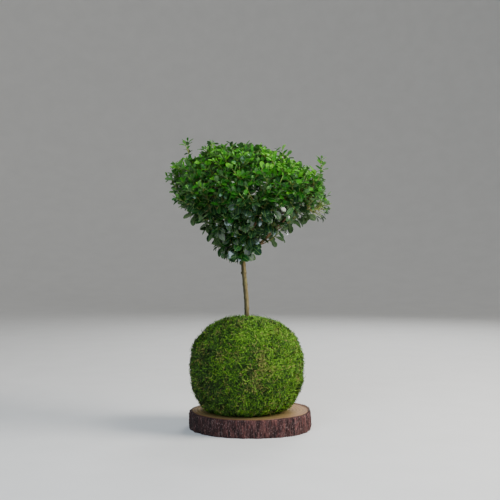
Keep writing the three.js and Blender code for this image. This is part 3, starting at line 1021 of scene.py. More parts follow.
def grow_way(tip, length, feeding):
    def cost(point):
        return size_of(point - tip) + DROP_COST * max(0, point[2] - tip[2] + 8)

    starts = sorted((p for p in feeding if size_of(p - tip) >= length + 4), key=cost)
    preferred = HIGH_SAG if tip[2] > HIGH_FROM else LOW_SAG
    for start in starts[:STARTS_TRIED]:
        for change in BENDS:
            way = bow(start, tip, preferred + change)
            green_from, brown_to = 1 - end_share(way, length), 1 - end_share(way, length + GAP)
            brown, green = along_bow(way, 0, brown_to, 20), along_bow(way, green_from, 1, 20)
            if beads.clear(brown, STEM_BEAD, [WOOD]) and beads.clear(green, STEM_BEAD):
                stem = with_tip(along_bow(way, green_from, 1, 2), STEM_RADII)
                spray = {"name": next(names_used), "way": way, "green_from": green_from}
                beads.place(brown, STEM_BEAD, WOOD)
                beads.place(green, STEM_BEAD, spray["name"])
                reach = PLAIN_REACH if length == SPRAY_LENGTH else SPRIG_REACH
                return {**spray, "sticks": [stem], "leaves": [], "length": length, "reach": reach}
    raise ValueError("no clear way to a tip")


for z in np.arange(TRUNK_FOOT_Z, LEADER_TOP_Z, 1.5):
    beads.place(trunk_point(z)[None], TRUNK_RADIUS, WOOD)
for limb in limbs:
    beads.place(along_bow(limb, 0, 1, 60), LIMB_BEAD, WOOD)
feeding = [point for limb in limbs for point in along_bow(limb, 0.1, 1, 12)]
sprays = [grow_way(tip, length, feeding) for tip, length in spray_aims]
print("The ways to the tips are laid, through", len(beads.points), "beads")

# %% [markdown]
# Two side twigs leave each green stem, to either side along the crown's skin. They give a spray the flat fan
# of leaves that it has on the tree.

# %% Side twigs
SIDE_TWIG_LENGTH = 14
STEERS = (0, 0.25, -0.25)


def grow_side_twigs(spray):
    stem = spray["sticks"][0]
    for joint, side in ((0, 1), (1, -1)):
        for steer in STEERS:
            outward = straight(stem["tip"] - CROWN_CENTRE)
            first, second = stem["points"][joint], stem["points"][joint + 1]
            start, along = first + (second - first) * 0.4, straight(second - first)
            sideways = straight(np.cross(along, outward))
            heading = along * 0.72 + sideways * (side * (draw(0.75, 0.95) + steer))
            heading = straight(heading + UP * (draw(-0.05, 0.3) + steer))
            end = start + heading * (SIDE_TWIG_LENGTH * draw(0.85, 1.15))
            twig = with_tip(np.array([start, end]), (0.45, 0.7))
            row = start + (end - start) * np.arange(11)[:, None] / 10
            if beads.clear(row, STEM_BEAD, [spray["name"]]):
                spray["sticks"].append(twig)
                beads.place(row, STEM_BEAD, spray["name"])
                break


for spray in sprays:
    grow_side_twigs(spray)
print("The green stems bear", sum(len(spray["sticks"]) - 1 for spray in sprays), "side twigs")

# %% [markdown]
# A leaf is placed by its root, the way it points, the way its face looks and its length. The spots on it are
# what the beads are made from. Where a leaf would touch another, it is turned a little round its stem, and
# left out if that doesn't help. This is what the solids do, so these are the solids' own leaves.

# %% Leaves where the solids have them
LEAF_LENGTH = {"high": 11.5, "low": 13}
LEAF_WIDTH_SHARE = 0.62
LEAF_BEAD = 1.1
LEAF_PAIRS = ((1.6, 0, (0.7, 0.9)), (6, math.pi / 2, (0.95, 1.2)))  # back from the tip, turn, spread
LEAF_NUDGES = (0, 0.35, -0.35, 0.7, -0.7)
LOW_UNDER = CROWN_CENTRE[2] - 5
LEAF_SPOTS = np.array([(0.3, 0), (0.95, 0)] + [(u, v) for u in (0.5, 0.75) for v in (-0.6, 0, 0.6)])


def leaf_frame(stick, back, turn, spread, droop, length, light=None):
    """Where a leaf's root is, the way it points, the way its face looks, and the direction across it."""
    along = stick["along"]
    out = stick["side"] * math.cos(turn) + stick["third"] * math.sin(turn)
    heading = straight(along * math.cos(spread) + out * math.sin(spread) - UP * droop)
    face = along * 0.7 + UP * 0.5 if light is None else light
    face = straight(face - heading * (face @ heading))
    if light is not None and face[2] < -0.1:
        face = -face
    leaf = {"root": stick["tip"] - along * back, "heading": heading, "face": face, "length": length}
    return {**leaf, "across": np.cross(heading, face)}


def leaf_beads(leaf):
    u, v = LEAF_SPOTS.T
    half_width = leaf["length"] * LEAF_WIDTH_SHARE / 2
    middle = leaf["root"] + np.outer(u * leaf["length"], leaf["heading"])
    return middle + np.outer(v * half_width, leaf["across"])


def grow_leaves(spray):
    low = spray["sticks"][0]["tip"][2] < LOW_UNDER
    droop = 0.45 if low else 0.05
    for stick in spray["sticks"]:
        for back, turn, spread in LEAF_PAIRS:
            for side in (0, math.pi):
                length = LEAF_LENGTH["low" if low else "high"] * draw(0.88, 1.12)
                opening = draw(*spread)
                for nudge in LEAF_NUDGES:
                    leaf = leaf_frame(stick, back, turn + side + nudge, opening, droop, length)
                    spots = leaf_beads(leaf)
                    if beads.clear(spots, LEAF_BEAD, [spray["name"], stick["name"]]):
                        beads.place(spots, LEAF_BEAD, stick["name"])
                        spray["leaves"].append({**leaf, "back": back})
                        break
    spray["low"] = low


for spray in sprays:
    grow_leaves(spray)
print("The solids' rule gives", sum(len(spray["leaves"]) for spray in sprays), "leaves")

# %% [markdown]
# A solid leaf stands for several small ones, so high in the crown it is larger than life. The dressed leaves
# are cut to their real size there: small on the sprigs and on top, and full-grown low down.

# %% Leaves cut to size
SPRIG_LEAF_SHARE = 0.68
HIGH_LEAF_SHARE = 0.8

for spray in sprays:
    sprig = spray["length"] > SPRAY_LENGTH
    for leaf in spray["leaves"]:
        if not spray["low"]:
            leaf["length"] *= SPRIG_LEAF_SHARE if sprig else HIGH_LEAF_SHARE
lengths = [leaf["length"] for spray in sprays for leaf in spray["leaves"]]
print("The solids' leaves are now", round(min(lengths)), "to", round(max(lengths)), "mm long")

# %% [markdown]
# ## Filling the crown
#
# The solids carry only as many leaves as solids can. The real crown is a dense dome, so the same stems now
# get more pairs of leaves along them, short extra twigs, and a tiny fresh pair at every tip. A finer kind of
# bead, much smaller than before, keeps the new leaves from cutting through the others, and a leaf that would
# leave the crown's outline is dropped.

# %% Room for one more leaf
CELL = 2.4
AROUND = [(x, y, z) for x in (-1, 0, 1) for y in (-1, 0, 1) for z in (-1, 0, 1)]


class Room:
    """Points in a grid of small cells, so that a new one is only compared with those nearby."""

    def __init__(self):
        self.cells = {}

    def key(self, point):
        return tuple(int(c // CELL) for c in point)

    def fill(self, points):
        for point in points:
            self.cells.setdefault(self.key(point), []).append(point)

    def free(self, points, gap):
        for point in points:
            x, y, z = self.key(point)
            for dx, dy, dz in AROUND:
                for other in self.cells.get((x + dx, y + dy, z + dz), ()):
                    if (point - other) @ (point - other) < gap * gap:
                        return False
        return True


room = Room()
for spray in sprays:
    for leaf in spray["leaves"]:
        room.fill(leaf_beads(leaf))
print("The room is filled in", len(room.cells), "cells")

# %% [markdown]
# A stem is followed by its distance back from the tip. Each new leaf asks for the place and the direction of
# the stem there.

# %% Following a stem
def line_of(stick, spray):
    """The stem's line in short straights, from its root to its tip."""
    if stick is spray["sticks"][0]:
        return along_bow(spray["way"], spray["green_from"], 1, 10)
    return np.array([stick["points"][0], stick["points"][-1]])


def at_back(line, back):
    """The place on a line that is a distance back from its tip, and the line's direction there."""
    for i in range(len(line) - 1, 0, -1):
        step = size_of(line[i] - line[i - 1])
        along = (line[i] - line[i - 1]) / step
        if back <= step or i == 1:
            return line[i] - along * back, along
        back -= step


def stick_at(line, back, side):
    """The stem as if it ended there, so that a leaf can be set out from that point."""
    point, along = at_back(line, back)
    side = straight(side - along * (side @ along))
    return {"tip": point, "along": along, "side": side, "third": np.cross(along, side)}


first_line = line_of(sprays[0]["sticks"][0], sprays[0])
print("5 mm back from its tip, the first stem is at", at_back(first_line, 5)[0].round(1))

# %% [markdown]
# Real leaves turn their faces to the light: upwards in the dome, and outwards low in the crown. Each pair
# opens more widely the older it is, and is turned a quarter from the pair before. A few leaves are missing
# everywhere, and under the lowest branch on the right most are, so that the branch shows.

# %% New leaves
LEAF_CHANCE_SEED = 77
LEAF_ROOM = 1.0
TIP_PAIR_ROOM = 0.7
LOW_SPACING = 1.6
NEW_LEAF_NUDGES = (0, 0.4, -0.4, 0.8)
LEFTMOST, RIGHTMOST, FOREMOST = -92, 88, -96.5  # so that no leaf leaves the solids' box
BLADE_HEIGHTS = (214, 236, 252)
BLADE_LENGTHS = (13, 11, 8.3)
BLADE_SHARES = (0.82, 1.15)
BRANCH_FOOT_Z = 207  # just over the lowest branch on the right, as a line over x
BRANCH_SLOPE = 0.66
SOFT_EDGE = 6
MISSING_LEAVES, MISSING_UNDER_BRANCH = 0.12, 0.85
HIGH_LIGHT = (0.6, 0.5, 0.28)  # how far leaves face up, outwards and astray
LOW_LIGHT = (0.24, 0.85, 0.18)
AGEING = 0.02  # how much more a leaf opens and droops with each millimetre back from the tip

chance = np.random.default_rng(LEAF_CHANCE_SEED)


def blade_length(place, share):
    """Leaves are full-grown low in the crown, and small and many in its dome."""
    return np.interp(place[2], BLADE_HEIGHTS, BLADE_LENGTHS) * share * chance.uniform(*BLADE_SHARES)


def try_leaf(spray, stick, turn, opening, length, droop, back, gap=LEAF_ROOM):
    """Adds a leaf if there is room for it, turned a little round its stem if need be."""
    up, out, astray = LOW_LIGHT if spray["low"] else HIGH_LIGHT
    outward = (stick["tip"] - CROWN_CENTRE) * ((1, 1, 0) if spray["low"] else 1)
    light = UP * up + straight(outward) * out + chance.normal(scale=astray, size=3)
    for nudge in NEW_LEAF_NUDGES:
        leaf = leaf_frame(stick, 0, turn + nudge, opening, droop, length, light)
        spots = leaf_beads(leaf)
        x, y, _ = spots[1]
        inside = crown_depth(spots[1]) <= spray["reach"] and LEFTMOST < x < RIGHTMOST and y >= FOREMOST
        if inside and room.free(spots, gap * (LOW_SPACING if spray["low"] else 1)):
            room.fill(spots)
            spray["leaves"].append({**leaf, "back": back})
            return


def bareness(place):
    """The share of leaves that is missing. Under the lowest branch on the right it is high."""
    x, _, z = place
    branch_z = BRANCH_FOOT_Z + BRANCH_SLOPE * x
    under_branch = ease((x - 2) / SOFT_EDGE) * ease((branch_z - z) / SOFT_EDGE)
    return MISSING_LEAVES + MISSING_UNDER_BRANCH * under_branch


def add_pairs(spray, stick, line, backs, first_turn, share=1.0):
    droop = 0.4 if spray["low"] else 0.0
    for step, back in enumerate(backs):
        here = stick_at(line, back, stick["side"])
        for side in (0, math.pi):
            if chance.random() < bareness(here["tip"]):
                continue
            opening = chance.uniform(0.6, 1.2) + AGEING * back
            length = blade_length(here["tip"], share)
            turn = first_turn + side + step * math.pi / 2
            try_leaf(spray, here, turn, opening, length, droop + AGEING * back, back)


def add_tip_pair(spray, stick, line):
    """The small new pair at the very tip, hardly opened yet."""
    here = stick_at(line, 0.3, stick["side"])
    for side in (0, math.pi):
        length = blade_length(here["tip"], chance.uniform(0.5, 0.75))
        opening = chance.uniform(0.3, 0.5)
        try_leaf(spray, here, math.pi / 2 + side, opening, length, 0, 0, TIP_PAIR_ROOM)


print("A new leaf is about", BLADE_LENGTHS[0], "mm long low down, and", BLADE_LENGTHS[-1], "mm in the dome")

# %% [markdown]
# Extra twigs leave the green stem and the last of the brown branchlet, turned by the golden angle so that
# they stand all round it. They lean outwards and, high in the crown, upwards to the light.

# %% Extra twigs
TWIG_BACKS = (5, 9, 13, 17, 22, 27, 33)
LOW_TWIG_BACKS = (10, 22)
TWIG_LENGTH, LOW_TWIG_LENGTH = (5.5, 9.5), (9, 13)
TWIG_RADII = (0.43, 0.3)
TWIG_ROOM = 1.1
PAIR_BACKS = (1.2, 4.4)  # where the pairs of leaves are, back from the tip of an extra twig
SIDE_TWIG_PAIR_BACKS = (3.8, 9.4)
STEM_PAIR_BACKS, FOOT_PAIR_BACKS = (10, 14.5, 19, 23.5), (28, 32)
SPRIG_LEAVES, SIDE_TWIG_LEAVES = 0.8, 0.9  # shares of a leaf's full length


def whole_line(spray):
    return along_bow(spray["way"], 0, 1, 24)


def extra_twig(spray, line, back, turn):
    point, along = at_back(line, back)
    side = straight(np.cross(along, UP) + 1e-6)
    third = np.cross(along, side)
    out = side * math.cos(turn) + third * math.sin(turn)
    lift = -0.15 if spray["low"] else 0.35
    outward = straight(point - CROWN_CENTRE + UP * 20)
    heading = straight(along * 0.55 + out * 0.8 + UP * lift + outward * 0.25)
    length = chance.uniform(*(LOW_TWIG_LENGTH if spray["low"] else TWIG_LENGTH))
    end = point + heading * length
    spots = [point + heading * length * share for share in (0.5, 0.75, 1)]
    if crown_depth(end) > spray["reach"] - 0.1 or not room.free(spots, TWIG_ROOM):
        return None
    curve = UP * chance.uniform(-0.6, 0.3) * (1 if spray["low"] else -1)
    middle = point + heading * length * 0.5 + curve
    along = straight(end - middle)
    side = straight(np.cross(along, UP) * chance.choice([-1, 1]) + 0.3 * out)
    side = straight(side - along * (side @ along))
    return stick_of(np.array([point, middle, end]), TWIG_RADII, side)


def add_twigs(spray, line, backs):
    for step, back in enumerate(backs):
        twig = extra_twig(spray, line, back, step * GOLDEN_TURN + chance.uniform(-0.4, 0.4))
        if twig is not None:
            spray["twigs"].append(twig)
            add_pairs(spray, twig, twig["points"], PAIR_BACKS, chance.uniform(-0.4, 0.4))
            add_tip_pair(spray, twig, twig["points"])


def fill_spray(spray):
    sprig = spray["length"] > SPRAY_LENGTH
    stem = spray["sticks"][0]
    add_pairs(spray, stem, line_of(stem, spray), STEM_PAIR_BACKS, 0, SPRIG_LEAVES if sprig else 1)
    for stick in spray["sticks"]:
        add_tip_pair(spray, stick, line_of(stick, spray))
    share = SPRIG_LEAVES if sprig else SIDE_TWIG_LEAVES
    for twig in spray["sticks"][1:]:
        add_pairs(spray, twig, line_of(twig, spray), SIDE_TWIG_PAIR_BACKS, 0, share)
    spray["twigs"] = []
    if sprig:
        return
    line = whole_line(spray)
    add_twigs(spray, line, LOW_TWIG_BACKS if spray["low"] else TWIG_BACKS)
    if not spray["low"]:
        add_pairs(spray, stem, line, FOOT_PAIR_BACKS, 0)


for spray in sprays:
    fill_spray(spray)
print("The solids' own stems now bear", sum(len(spray["leaves"]) for spray in sprays), "leaves")

# %% [markdown]
# The places on the crown's skin that are still far from any twig get a shoot of their own. It grows from the
# nearest wood below it, as the solids' sprays do, and bears the same pairs of leaves. A few more shoots have
# tips that are given one by one: at the crown's foot, on its left and right and on top of it, where the
# tree's own outline differs most from an even dome.

# %% Shoots for the gaps
SHOOT_PLACES = 700
SHOOT_LENGTH = 24
SHOOT_GAP = 7.4
SHOOT_LOWEST = 240
SHOOT_RADII = (0.58, 0.38)
SHOOT_PAIR_BACKS, SHOOT_TWIG_BACKS = (1.3, 4.6, 8, 12), (3, 6.5, 10.5, 15)
HIGH_SHOOT_SAG, LOW_SHOOT_SAG = 0.3, 0.05
CHOSEN_REACH = 1.4  # the tips given one by one may stand further out of the crown's outline
LOW_TIPS = (
    (-26, -22, 201), (-15, -27, 197), (-8, -24, 202), (-31, -12, 207), (-13, -2, 203),
    (-20, -31, 204), (-11, -35, 209), (-2, -34, 207), (-28, -32, 214), (-37, -24, 219),
    (-17, -42, 221), (-4, -43, 221), (-40, -34, 228), (-27, -46, 230), (-8, -50, 232),
)
RIGHT_TIPS = ((80, -12, 244), (78, -22, 240), (81, 2, 250), (79, -4, 239))
LEFT_TIPS = (
    (-83, -12, 277), (-84, -21, 270), (-80, -3, 281), (-78, -26, 284), (-82, 6, 268), (-78, -2, 254),
)
TOP_TIPS = ((-2, -11, 303), (7, -3, 302), (-9, -18, 302), (7, -19, 301), (-10, -3, 301))


def gap_places(tips):
    """Places spread over the crown's skin, and under it, that lie far from every twig's tip."""
    found = []
    for i in range(SHOOT_PLACES):
        rise = 0.97 - 1.86 * (i + 0.5) / SHOOT_PLACES
        share = 1 - chance.uniform(3, 18) / CROWN_RADIUS
        place = crown_point(i * GOLDEN_TURN + 0.7, rise, share, LEAFY_DOME)
        if place[2] > SHOOT_LOWEST and min(size_of(place - tip) for tip in tips + found) > SHOOT_GAP:
            found.append(place)
    return found


def grow_shoot(tip, wood, reach):
    far = wood[np.linalg.norm(wood - tip, axis=1) > SHOOT_LENGTH * 0.8]
    cost = np.linalg.norm(far - tip, axis=1) + DROP_COST * np.clip(far[:, 2] - tip[2] + 6, 0, None)
    start = far[cost.argmin()]
    way = bow(start, tip, HIGH_SHOOT_SAG if tip[2] > HIGH_FROM else LOW_SHOOT_SAG)
    green_from = 1 - end_share(way, SHOOT_LENGTH) if size_of(tip - start) > SHOOT_LENGTH else 0
    line = along_bow(way, green_from, 1, 10)
    side = straight(np.cross(straight(line[-1] - line[-2]), UP) + 1e-6)
    shoot = {"way": way, "green_from": green_from, "sticks": [stick_of(line, SHOOT_RADII, side)]}
    return {**shoot, "leaves": [], "twigs": [], "low": tip[2] < LOW_UNDER, "reach": reach}


def fill_shoot(shoot):
    stem = shoot["sticks"][0]
    line = whole_line(shoot)
    add_tip_pair(shoot, stem, line)
    add_pairs(shoot, stem, line, SHOOT_PAIR_BACKS, chance.uniform(0, 1.5))
    add_twigs(shoot, line, SHOOT_TWIG_BACKS)


tips = [stick["tip"] for spray in sprays for stick in spray["sticks"] + spray["twigs"]]
wood = np.concatenate(
    [along_bow(limb, 0.15, 1, 24) for limb in limbs]
    + [along_bow(spray["way"], 0.1, spray["green_from"], 12) for spray in sprays]
)
chosen = [np.array(tip, float) for tip in LOW_TIPS + RIGHT_TIPS + LEFT_TIPS + TOP_TIPS]
shoots = [grow_shoot(tip, wood, CHOSEN_REACH) for tip in chosen]
shoots += [grow_shoot(tip, wood, PLAIN_REACH) for tip in gap_places(tips)]
for shoot in shoots:
    fill_shoot(shoot)
gap_leaves = sum(len(shoot["leaves"]) for shoot in shoots)
print(len(shoots), "shoots fill the gaps with", gap_leaves, "leaves")

# %% [markdown]
# ## The shape of a leaf
#
# The leaves are small, thick and glossy: widest beyond the middle, round at the tip, narrowed to a short
# stalk. Each one is folded a little along its midrib and bends back along its length, and no two bend alike.
# The blade is a closed thin body of two sheets that share a rim, so it has an edge to catch the light.

# %% The leaf pattern
LEAF_ROWS = ((0.08, 0.12), (0.24, 0.50), (0.42, 0.86), (0.62, 1.0), (0.80, 0.85), (0.935, 0.50))
LEAF_COLUMNS = (-1, 0, 1)
MIDRIB_SHIFT = 0.012
BLADE_THICKNESS = 0.26
UPPER, UNDER, STALK = 0, 1, 2


def leaf_pattern():
    """Points as (u, v, width share, is on the underside), then quads, triangles and what they face."""
    points = [(0, 0, 0, 0), (1, 0, 0, 0)]
    upper, under = {}, {}
    for i, (u, width) in enumerate(LEAF_ROWS):
        for j, v in enumerate(LEAF_COLUMNS):
            upper[i, j] = under[i, j] = len(points)
            points.append((u + MIDRIB_SHIFT * (1 - v * v), v, width, 0))
    for i, (u, width) in enumerate(LEAF_ROWS):
        under[i, 1] = len(points)
        points.append((u + MIDRIB_SHIFT, 0, width, 1))
    quads, triangles, kinds = [], [], []
    last = len(LEAF_ROWS) - 1
    for kind, sheet, turned in ((UPPER, upper, 1), (UNDER, under, -1)):
        for j, k in ((0, 1), (1, 2)):
            for i in range(last):
                quads.append([sheet[i, j], sheet[i, k], sheet[i + 1, k], sheet[i + 1, j]][::turned])
            triangles.append([0, sheet[0, k], sheet[0, j]][::turned])
            triangles.append([1, sheet[last, j], sheet[last, k]][::turned])
            kinds.append(kind)
    return np.array(points, float), np.array(quads), np.array(triangles), np.array(kinds)


LEAF_POINTS, LEAF_QUADS, LEAF_TRIANGLES, LEAF_STRIPS = leaf_pattern()
LEAF_RIM = (np.abs(LEAF_POINTS[:, 1]) == 1) | (LEAF_POINTS[:, 2] == 0)
print("A leaf has", 2 * len(LEAF_QUADS) + len(LEAF_TRIANGLES), "triangles")

# %% [markdown]
# What a leaf's colour depends on is worked out here. New leaves near the tips are yellow-green, and old ones
# low down are a deep blue-green, and more waxy. Over the age goes painted light: leaves on top and to the
# right, where the light falls, are made lighter, and those deep inside the crown darker, as shade. The mesh
# carries that tone, the wax and a chance number for each leaf, and the place on the blade for the veins.

# %% A leaf's age and painted light
# Fresher here means younger and also lit: the rise with height is partly painted light.
UPPER_RISE, TOP_RISE = (228, 30), (262, 24)  # leaves get fresher from this height on, over this many mm
OUTER_RISE = (0.6, 0.42)
NEW_FOR = 9
CLUMP_SIZE = 26
WAXY_UNDER, WAXY_RISE = 252, 34


def freshness_and_light(leaf):
    """0 for the oldest, darkest leaves and 1 for new growth, raised by painted light and lowered by painted
    shade.
    """
    tip = leaf["root"] + leaf["heading"] * leaf["length"]
    upper, top = (ease((tip[2] - start) / over) for start, over in (UPPER_RISE, TOP_RISE))
    # Painted light and shade: high, outer and right-hand leaves are made lighter, as lit, and inner ones
    # darker.
    high = 0.66 * upper + 0.38 * top
    outer = ease((crown_depth(tip) - OUTER_RISE[0]) / OUTER_RISE[1])
    right = max(0, tip[0] - CROWN_CENTRE[0]) / CROWN_RADIUS
    new = max(0, 1 - leaf["back"] / NEW_FOR)
    clump = ripple(leaf["root"], CLUMP_SIZE, 71)
    signs = 0.05 + 0.28 * outer + 0.42 * new + 0.2 * right + 0.15 * clump
    return min(1, max(0, high * signs + chance.normal(scale=0.14)))


def waxiness(leaf):
    """1 for the old leaves low in the crown, and 0 in its dome."""
    return ease((WAXY_UNDER - leaf["root"][2]) / WAXY_RISE)


print("The oldest leaves lie under", UPPER_RISE[0], "mm")

# %% [markdown]
# The pattern is now set out for every leaf of a piece at once. Each leaf has its own fold along the midrib,
# its own bend along its length, a twist, and a wave at its rim. Its upper side, its underside and their
# places on the map are told apart by the kind of each face.

# %% Leaves into meshes
LOW_LEAVES = 240


def leaves_shape(leaves, first_cell, cells):
    def column(key):
        return np.array([leaf[key] for leaf in leaves])[:, None]

    def each(rule):
        return np.array([rule(leaf) for leaf in leaves])[:, None]

    root, heading, face, across = (column(key) for key in ("root", "heading", "face", "across"))
    length = column("length")
    count = len(leaves)
    fresh_and_lit = each(freshness_and_light)
    low = root[..., 2] < LOW_LEAVES
    half = length * (LEAF_WIDTH_SHARE - 0.14 * fresh_and_lit) / 2 * chance.uniform(0.85, 1.05, (count, 1))
    fold = chance.uniform(0.12, 0.42, (count, 1))
    bend = chance.uniform(-0.1, 0.55, (count, 1)) + 0.25 * low
    twist = chance.normal(scale=0.18, size=(count, 1))
    wave = chance.uniform(0, 6.28, (count, 1))
    u, v, width, underside = LEAF_POINTS.T
    ahead = length * u * (1 - (bend * u) ** 2 / 6)
    sideways = half * v * width
    folded = fold * (np.abs(v) - 0.12 * v**4) + twist * v * u
    lift = -bend * length * u**2 / 2 + half * width * folded
    lift = lift + 0.05 * half * np.abs(v) * width * np.sin(9 * u + wave + 2 * v)
    lift = lift - BLADE_THICKNESS * underside
    points = root + ahead[..., None] * heading + sideways[..., None] * across + lift[..., None] * face
    offsets = (np.arange(count) * len(LEAF_POINTS))[:, None, None]
    look = together(fresh_and_lit, chance.uniform(0, 1, (count, 1)), each(waxiness) + 0 * u)
    place = together(u + 0 * fresh_and_lit, v, width)
    cell = (first_cell + np.arange(count))[:, None]
    maps, kinds = [], []
    for faces in (LEAF_QUADS, LEAF_TRIANGLES):
        kind = np.repeat(LEAF_STRIPS, len(faces) // len(LEAF_STRIPS))
        kinds.append(np.tile(kind, count))
        flat = faces.ravel()
        x = 0.25 + 0.5 * np.repeat(kind, faces.shape[1]) + 0.2 * v[flat] * width[flat]
        y = 0.08 + 0.84 * u[flat]
        corner = np.stack([cell % cells, cell // cells], -1)
        maps.append(((corner + np.stack([x, y], -1)) / cells).reshape(-1, 2))
    return {
        "points": points.reshape(-1, 3),
        "faces": [(LEAF_QUADS + offsets).reshape(-1, 4), (LEAF_TRIANGLES + offsets).reshape(-1, 3)],
        "paint": {"leaf_look": look.reshape(-1, 3), "leaf_place": place.reshape(-1, 3)},
        "map": np.concatenate(maps),
        "rim": np.tile(LEAF_RIM, count),
        "finish_of_face": np.concatenate(kinds),
    }


# %% [markdown]
# ## Stems
#
# Every stem, from the trunk to the thinnest twig, is a tube along a line. A frame is carried along the line
# without spinning, so the tube doesn't twist, and a point at each end closes it.

# %% Tubes
FOOT_CAP, TIP_CAP = 0.1, 0.6  # how far the end points stand out, in millimetres and as a share of the radius


def tube(line, radii, sides, swell=None):
    """A closed tube. swell gives extra radius from the points and their angles."""
    line, count = np.asarray(line, float), len(line)
    tangents = unit(np.gradient(line, axis=0))
    side = np.cross(tangents[0], (0, 1, 0.02))
    angles = circle(sides)
    rings = np.empty((count, sides, 3))
    for i in range(count):
        side = straight(side - tangents[i] * (side @ tangents[i]))
        spokes = np.outer(np.cos(angles), side) + np.outer(np.sin(angles), np.cross(tangents[i], side))
        size = np.full(sides, radii[i])
        if swell is not None:
            size = size + swell(line[i] + spokes * radii[i], spokes)
        rings[i] = line[i] + spokes * size[:, None]
    foot_point = line[:1] - tangents[0] * FOOT_CAP
    tip_point = line[-1:] + tangents[-1] * radii[-1] * TIP_CAP
    points = np.concatenate([rings.reshape(-1, 3), foot_point, tip_point])
    last, foot, top = (count - 1) * sides, count * sides, count * sides + 1
    around = np.arange(sides)
    nxt = (around + 1) % sides
    ends = np.concatenate([
        np.stack([np.full(sides, foot), nxt, around], -1),
        np.stack([np.full(sides, top), last + around, last + nxt], -1),
    ])
    return {"points": points, "faces": [ring_faces(count, sides), ends]}


def resampled(line, spacing):
    """A line as points that are evenly spaced."""
    line = np.asarray(line, float)
    run = np.concatenate([[0], np.cumsum(np.linalg.norm(np.diff(line, axis=0), axis=1))])
    spans = max(2, round(run[-1] / spacing))
    places = np.linspace(0, run[-1], spans + 1)
    return np.stack([np.interp(places, run, line[:, axis]) for axis in range(3)], -1)


print("A twig of 3 points and 5 sides has", len(tube(np.eye(3), [1, 1, 1], 5)["points"]), "corners")

# %% [markdown]
# A green twig joins the leaves of its spray in one mesh. It thickens a little at every second point along it,
# as a real one does at its joints.

# %% The sprays' meshes
TWIG_SIDES = 5
TWIG_STEP = 2.8
JOINT_SWELL = 0.06
STEM_TUBE, SIDE_TUBE = (0.62, 0.4), (0.48, 0.34)  # radii at the foot and the tip


def twig_shape(line, thick, thin, cell, cells):
    line = resampled(line, TWIG_STEP)
    share = np.linspace(0, 1, len(line))
    radii = thick + (thin - thick) * share + JOINT_SWELL * (np.arange(len(line)) % 2)
    made = tube(line, radii, TWIG_SIDES)
    count = len(line)
    look = together(np.repeat(share, TWIG_SIDES), 0.5, 0)
    look = np.concatenate([look, [[0, 0.5, 0], [1, 0.5, 0]]])
    corner = np.array([cell % cells, cell // cells])
    i, j = np.meshgrid(np.arange(count - 1), np.arange(TWIG_SIDES), indexing="ij")
    x = np.stack([j, j + 1, j + 1, j], -1).ravel() / TWIG_SIDES
    y = np.stack([i, i, i + 1, i + 1], -1).ravel() / (count - 1)
    end = np.tile([[0.5, 0], [0.52, 0.02], [0.48, 0.02]], (TWIG_SIDES, 1))
    spots = np.concatenate([np.stack([x, y], -1), end, [0, 1] + end * [1, -1]])
    return {
        **made,
        "paint": {"leaf_look": look, "leaf_place": np.zeros_like(look)},
        "map": (corner + 0.08 + 0.84 * spots) / cells,
        "rim": np.zeros(len(made["points"]), bool),
        "finish_of_face": np.full(sum(len(faces) for faces in made["faces"]), STALK),
    }


def leafy_shape(leaves, lines):
    """Leaves, and stems given as lines with two radii, as one mesh on one map."""
    cells = math.ceil(math.sqrt(len(lines) + len(leaves)))
    stems = [twig_shape(line, *radii, cell, cells) for cell, (line, radii) in enumerate(lines)]
    return joined([leaves_shape(leaves, len(lines), cells), *stems])


def spray_shape(spray):
    stem, *side_twigs = [line_of(stick, spray) for stick in spray["sticks"]]
    lines = [(stem, STEM_TUBE)] + [(line, SIDE_TUBE) for line in side_twigs]
    lines += [(twig["points"], twig["radii"]) for twig in spray["twigs"]]
    return leafy_shape(spray["leaves"], lines)


def shoots_shape(members):
    leaves = [leaf for shoot in members for leaf in shoot["leaves"]]
    sticks = [stick for shoot in members for stick in shoot["sticks"] + shoot["twigs"]]
    return leafy_shape(leaves, [(stick["points"], stick["radii"]) for stick in sticks])


print("A green twig has", TWIG_SIDES, "sides, and is up to", 2 * STEM_TUBE[0], "mm thick")

# %% [markdown]
# ## The leaves' finish
#
# A glossy leaf shows three things: the colour of its age, a pale midrib with faint side veins, and a smooth
# waxy skin whose highlight is broken by the veins. The underside is paler and dull. The wax is a clear coat
# over the leaf. It is full on most of the old leaves low down, and thin on a few of the others, because only
# the leaves that face the light just so are seen to shine.

# %% Leaf finishes
WAX = {"Coat Roughness": 0.25, "Coat IOR": 1.8, "Specular IOR Level": 0.12}


def leaf_colours(f, fresh_and_lit, luck):
    tone = fresh_and_lit + (luck - 0.5) * 0.16
    return f.ramp(
        tone,
        (0.0, (0.002, 0.021, 0.007)),
        (0.25, (0.003, 0.058, 0.004)),
        (0.55, (0.016, 0.155, 0.002)),
        (0.85, (0.090, 0.340, 0.008)),
    )


def vein_masks(f):
    """How far out on the blade, and 1 on the midrib and on the side veins."""
    u, v, width = f.painted("leaf_place")
    off_middle = abs(v) * width
    midrib = 1 - f.rise(off_middle, 0.02, 0.10)
    sweep = f.math("FRACT", (u - abs(v) * 0.16) * 7.5)
    side_veins = (1 - f.rise(abs(sweep - 0.5), 0.03, 0.12)) * f.rise(off_middle, 0.06, 0.2)
    return abs(v), midrib, side_veins


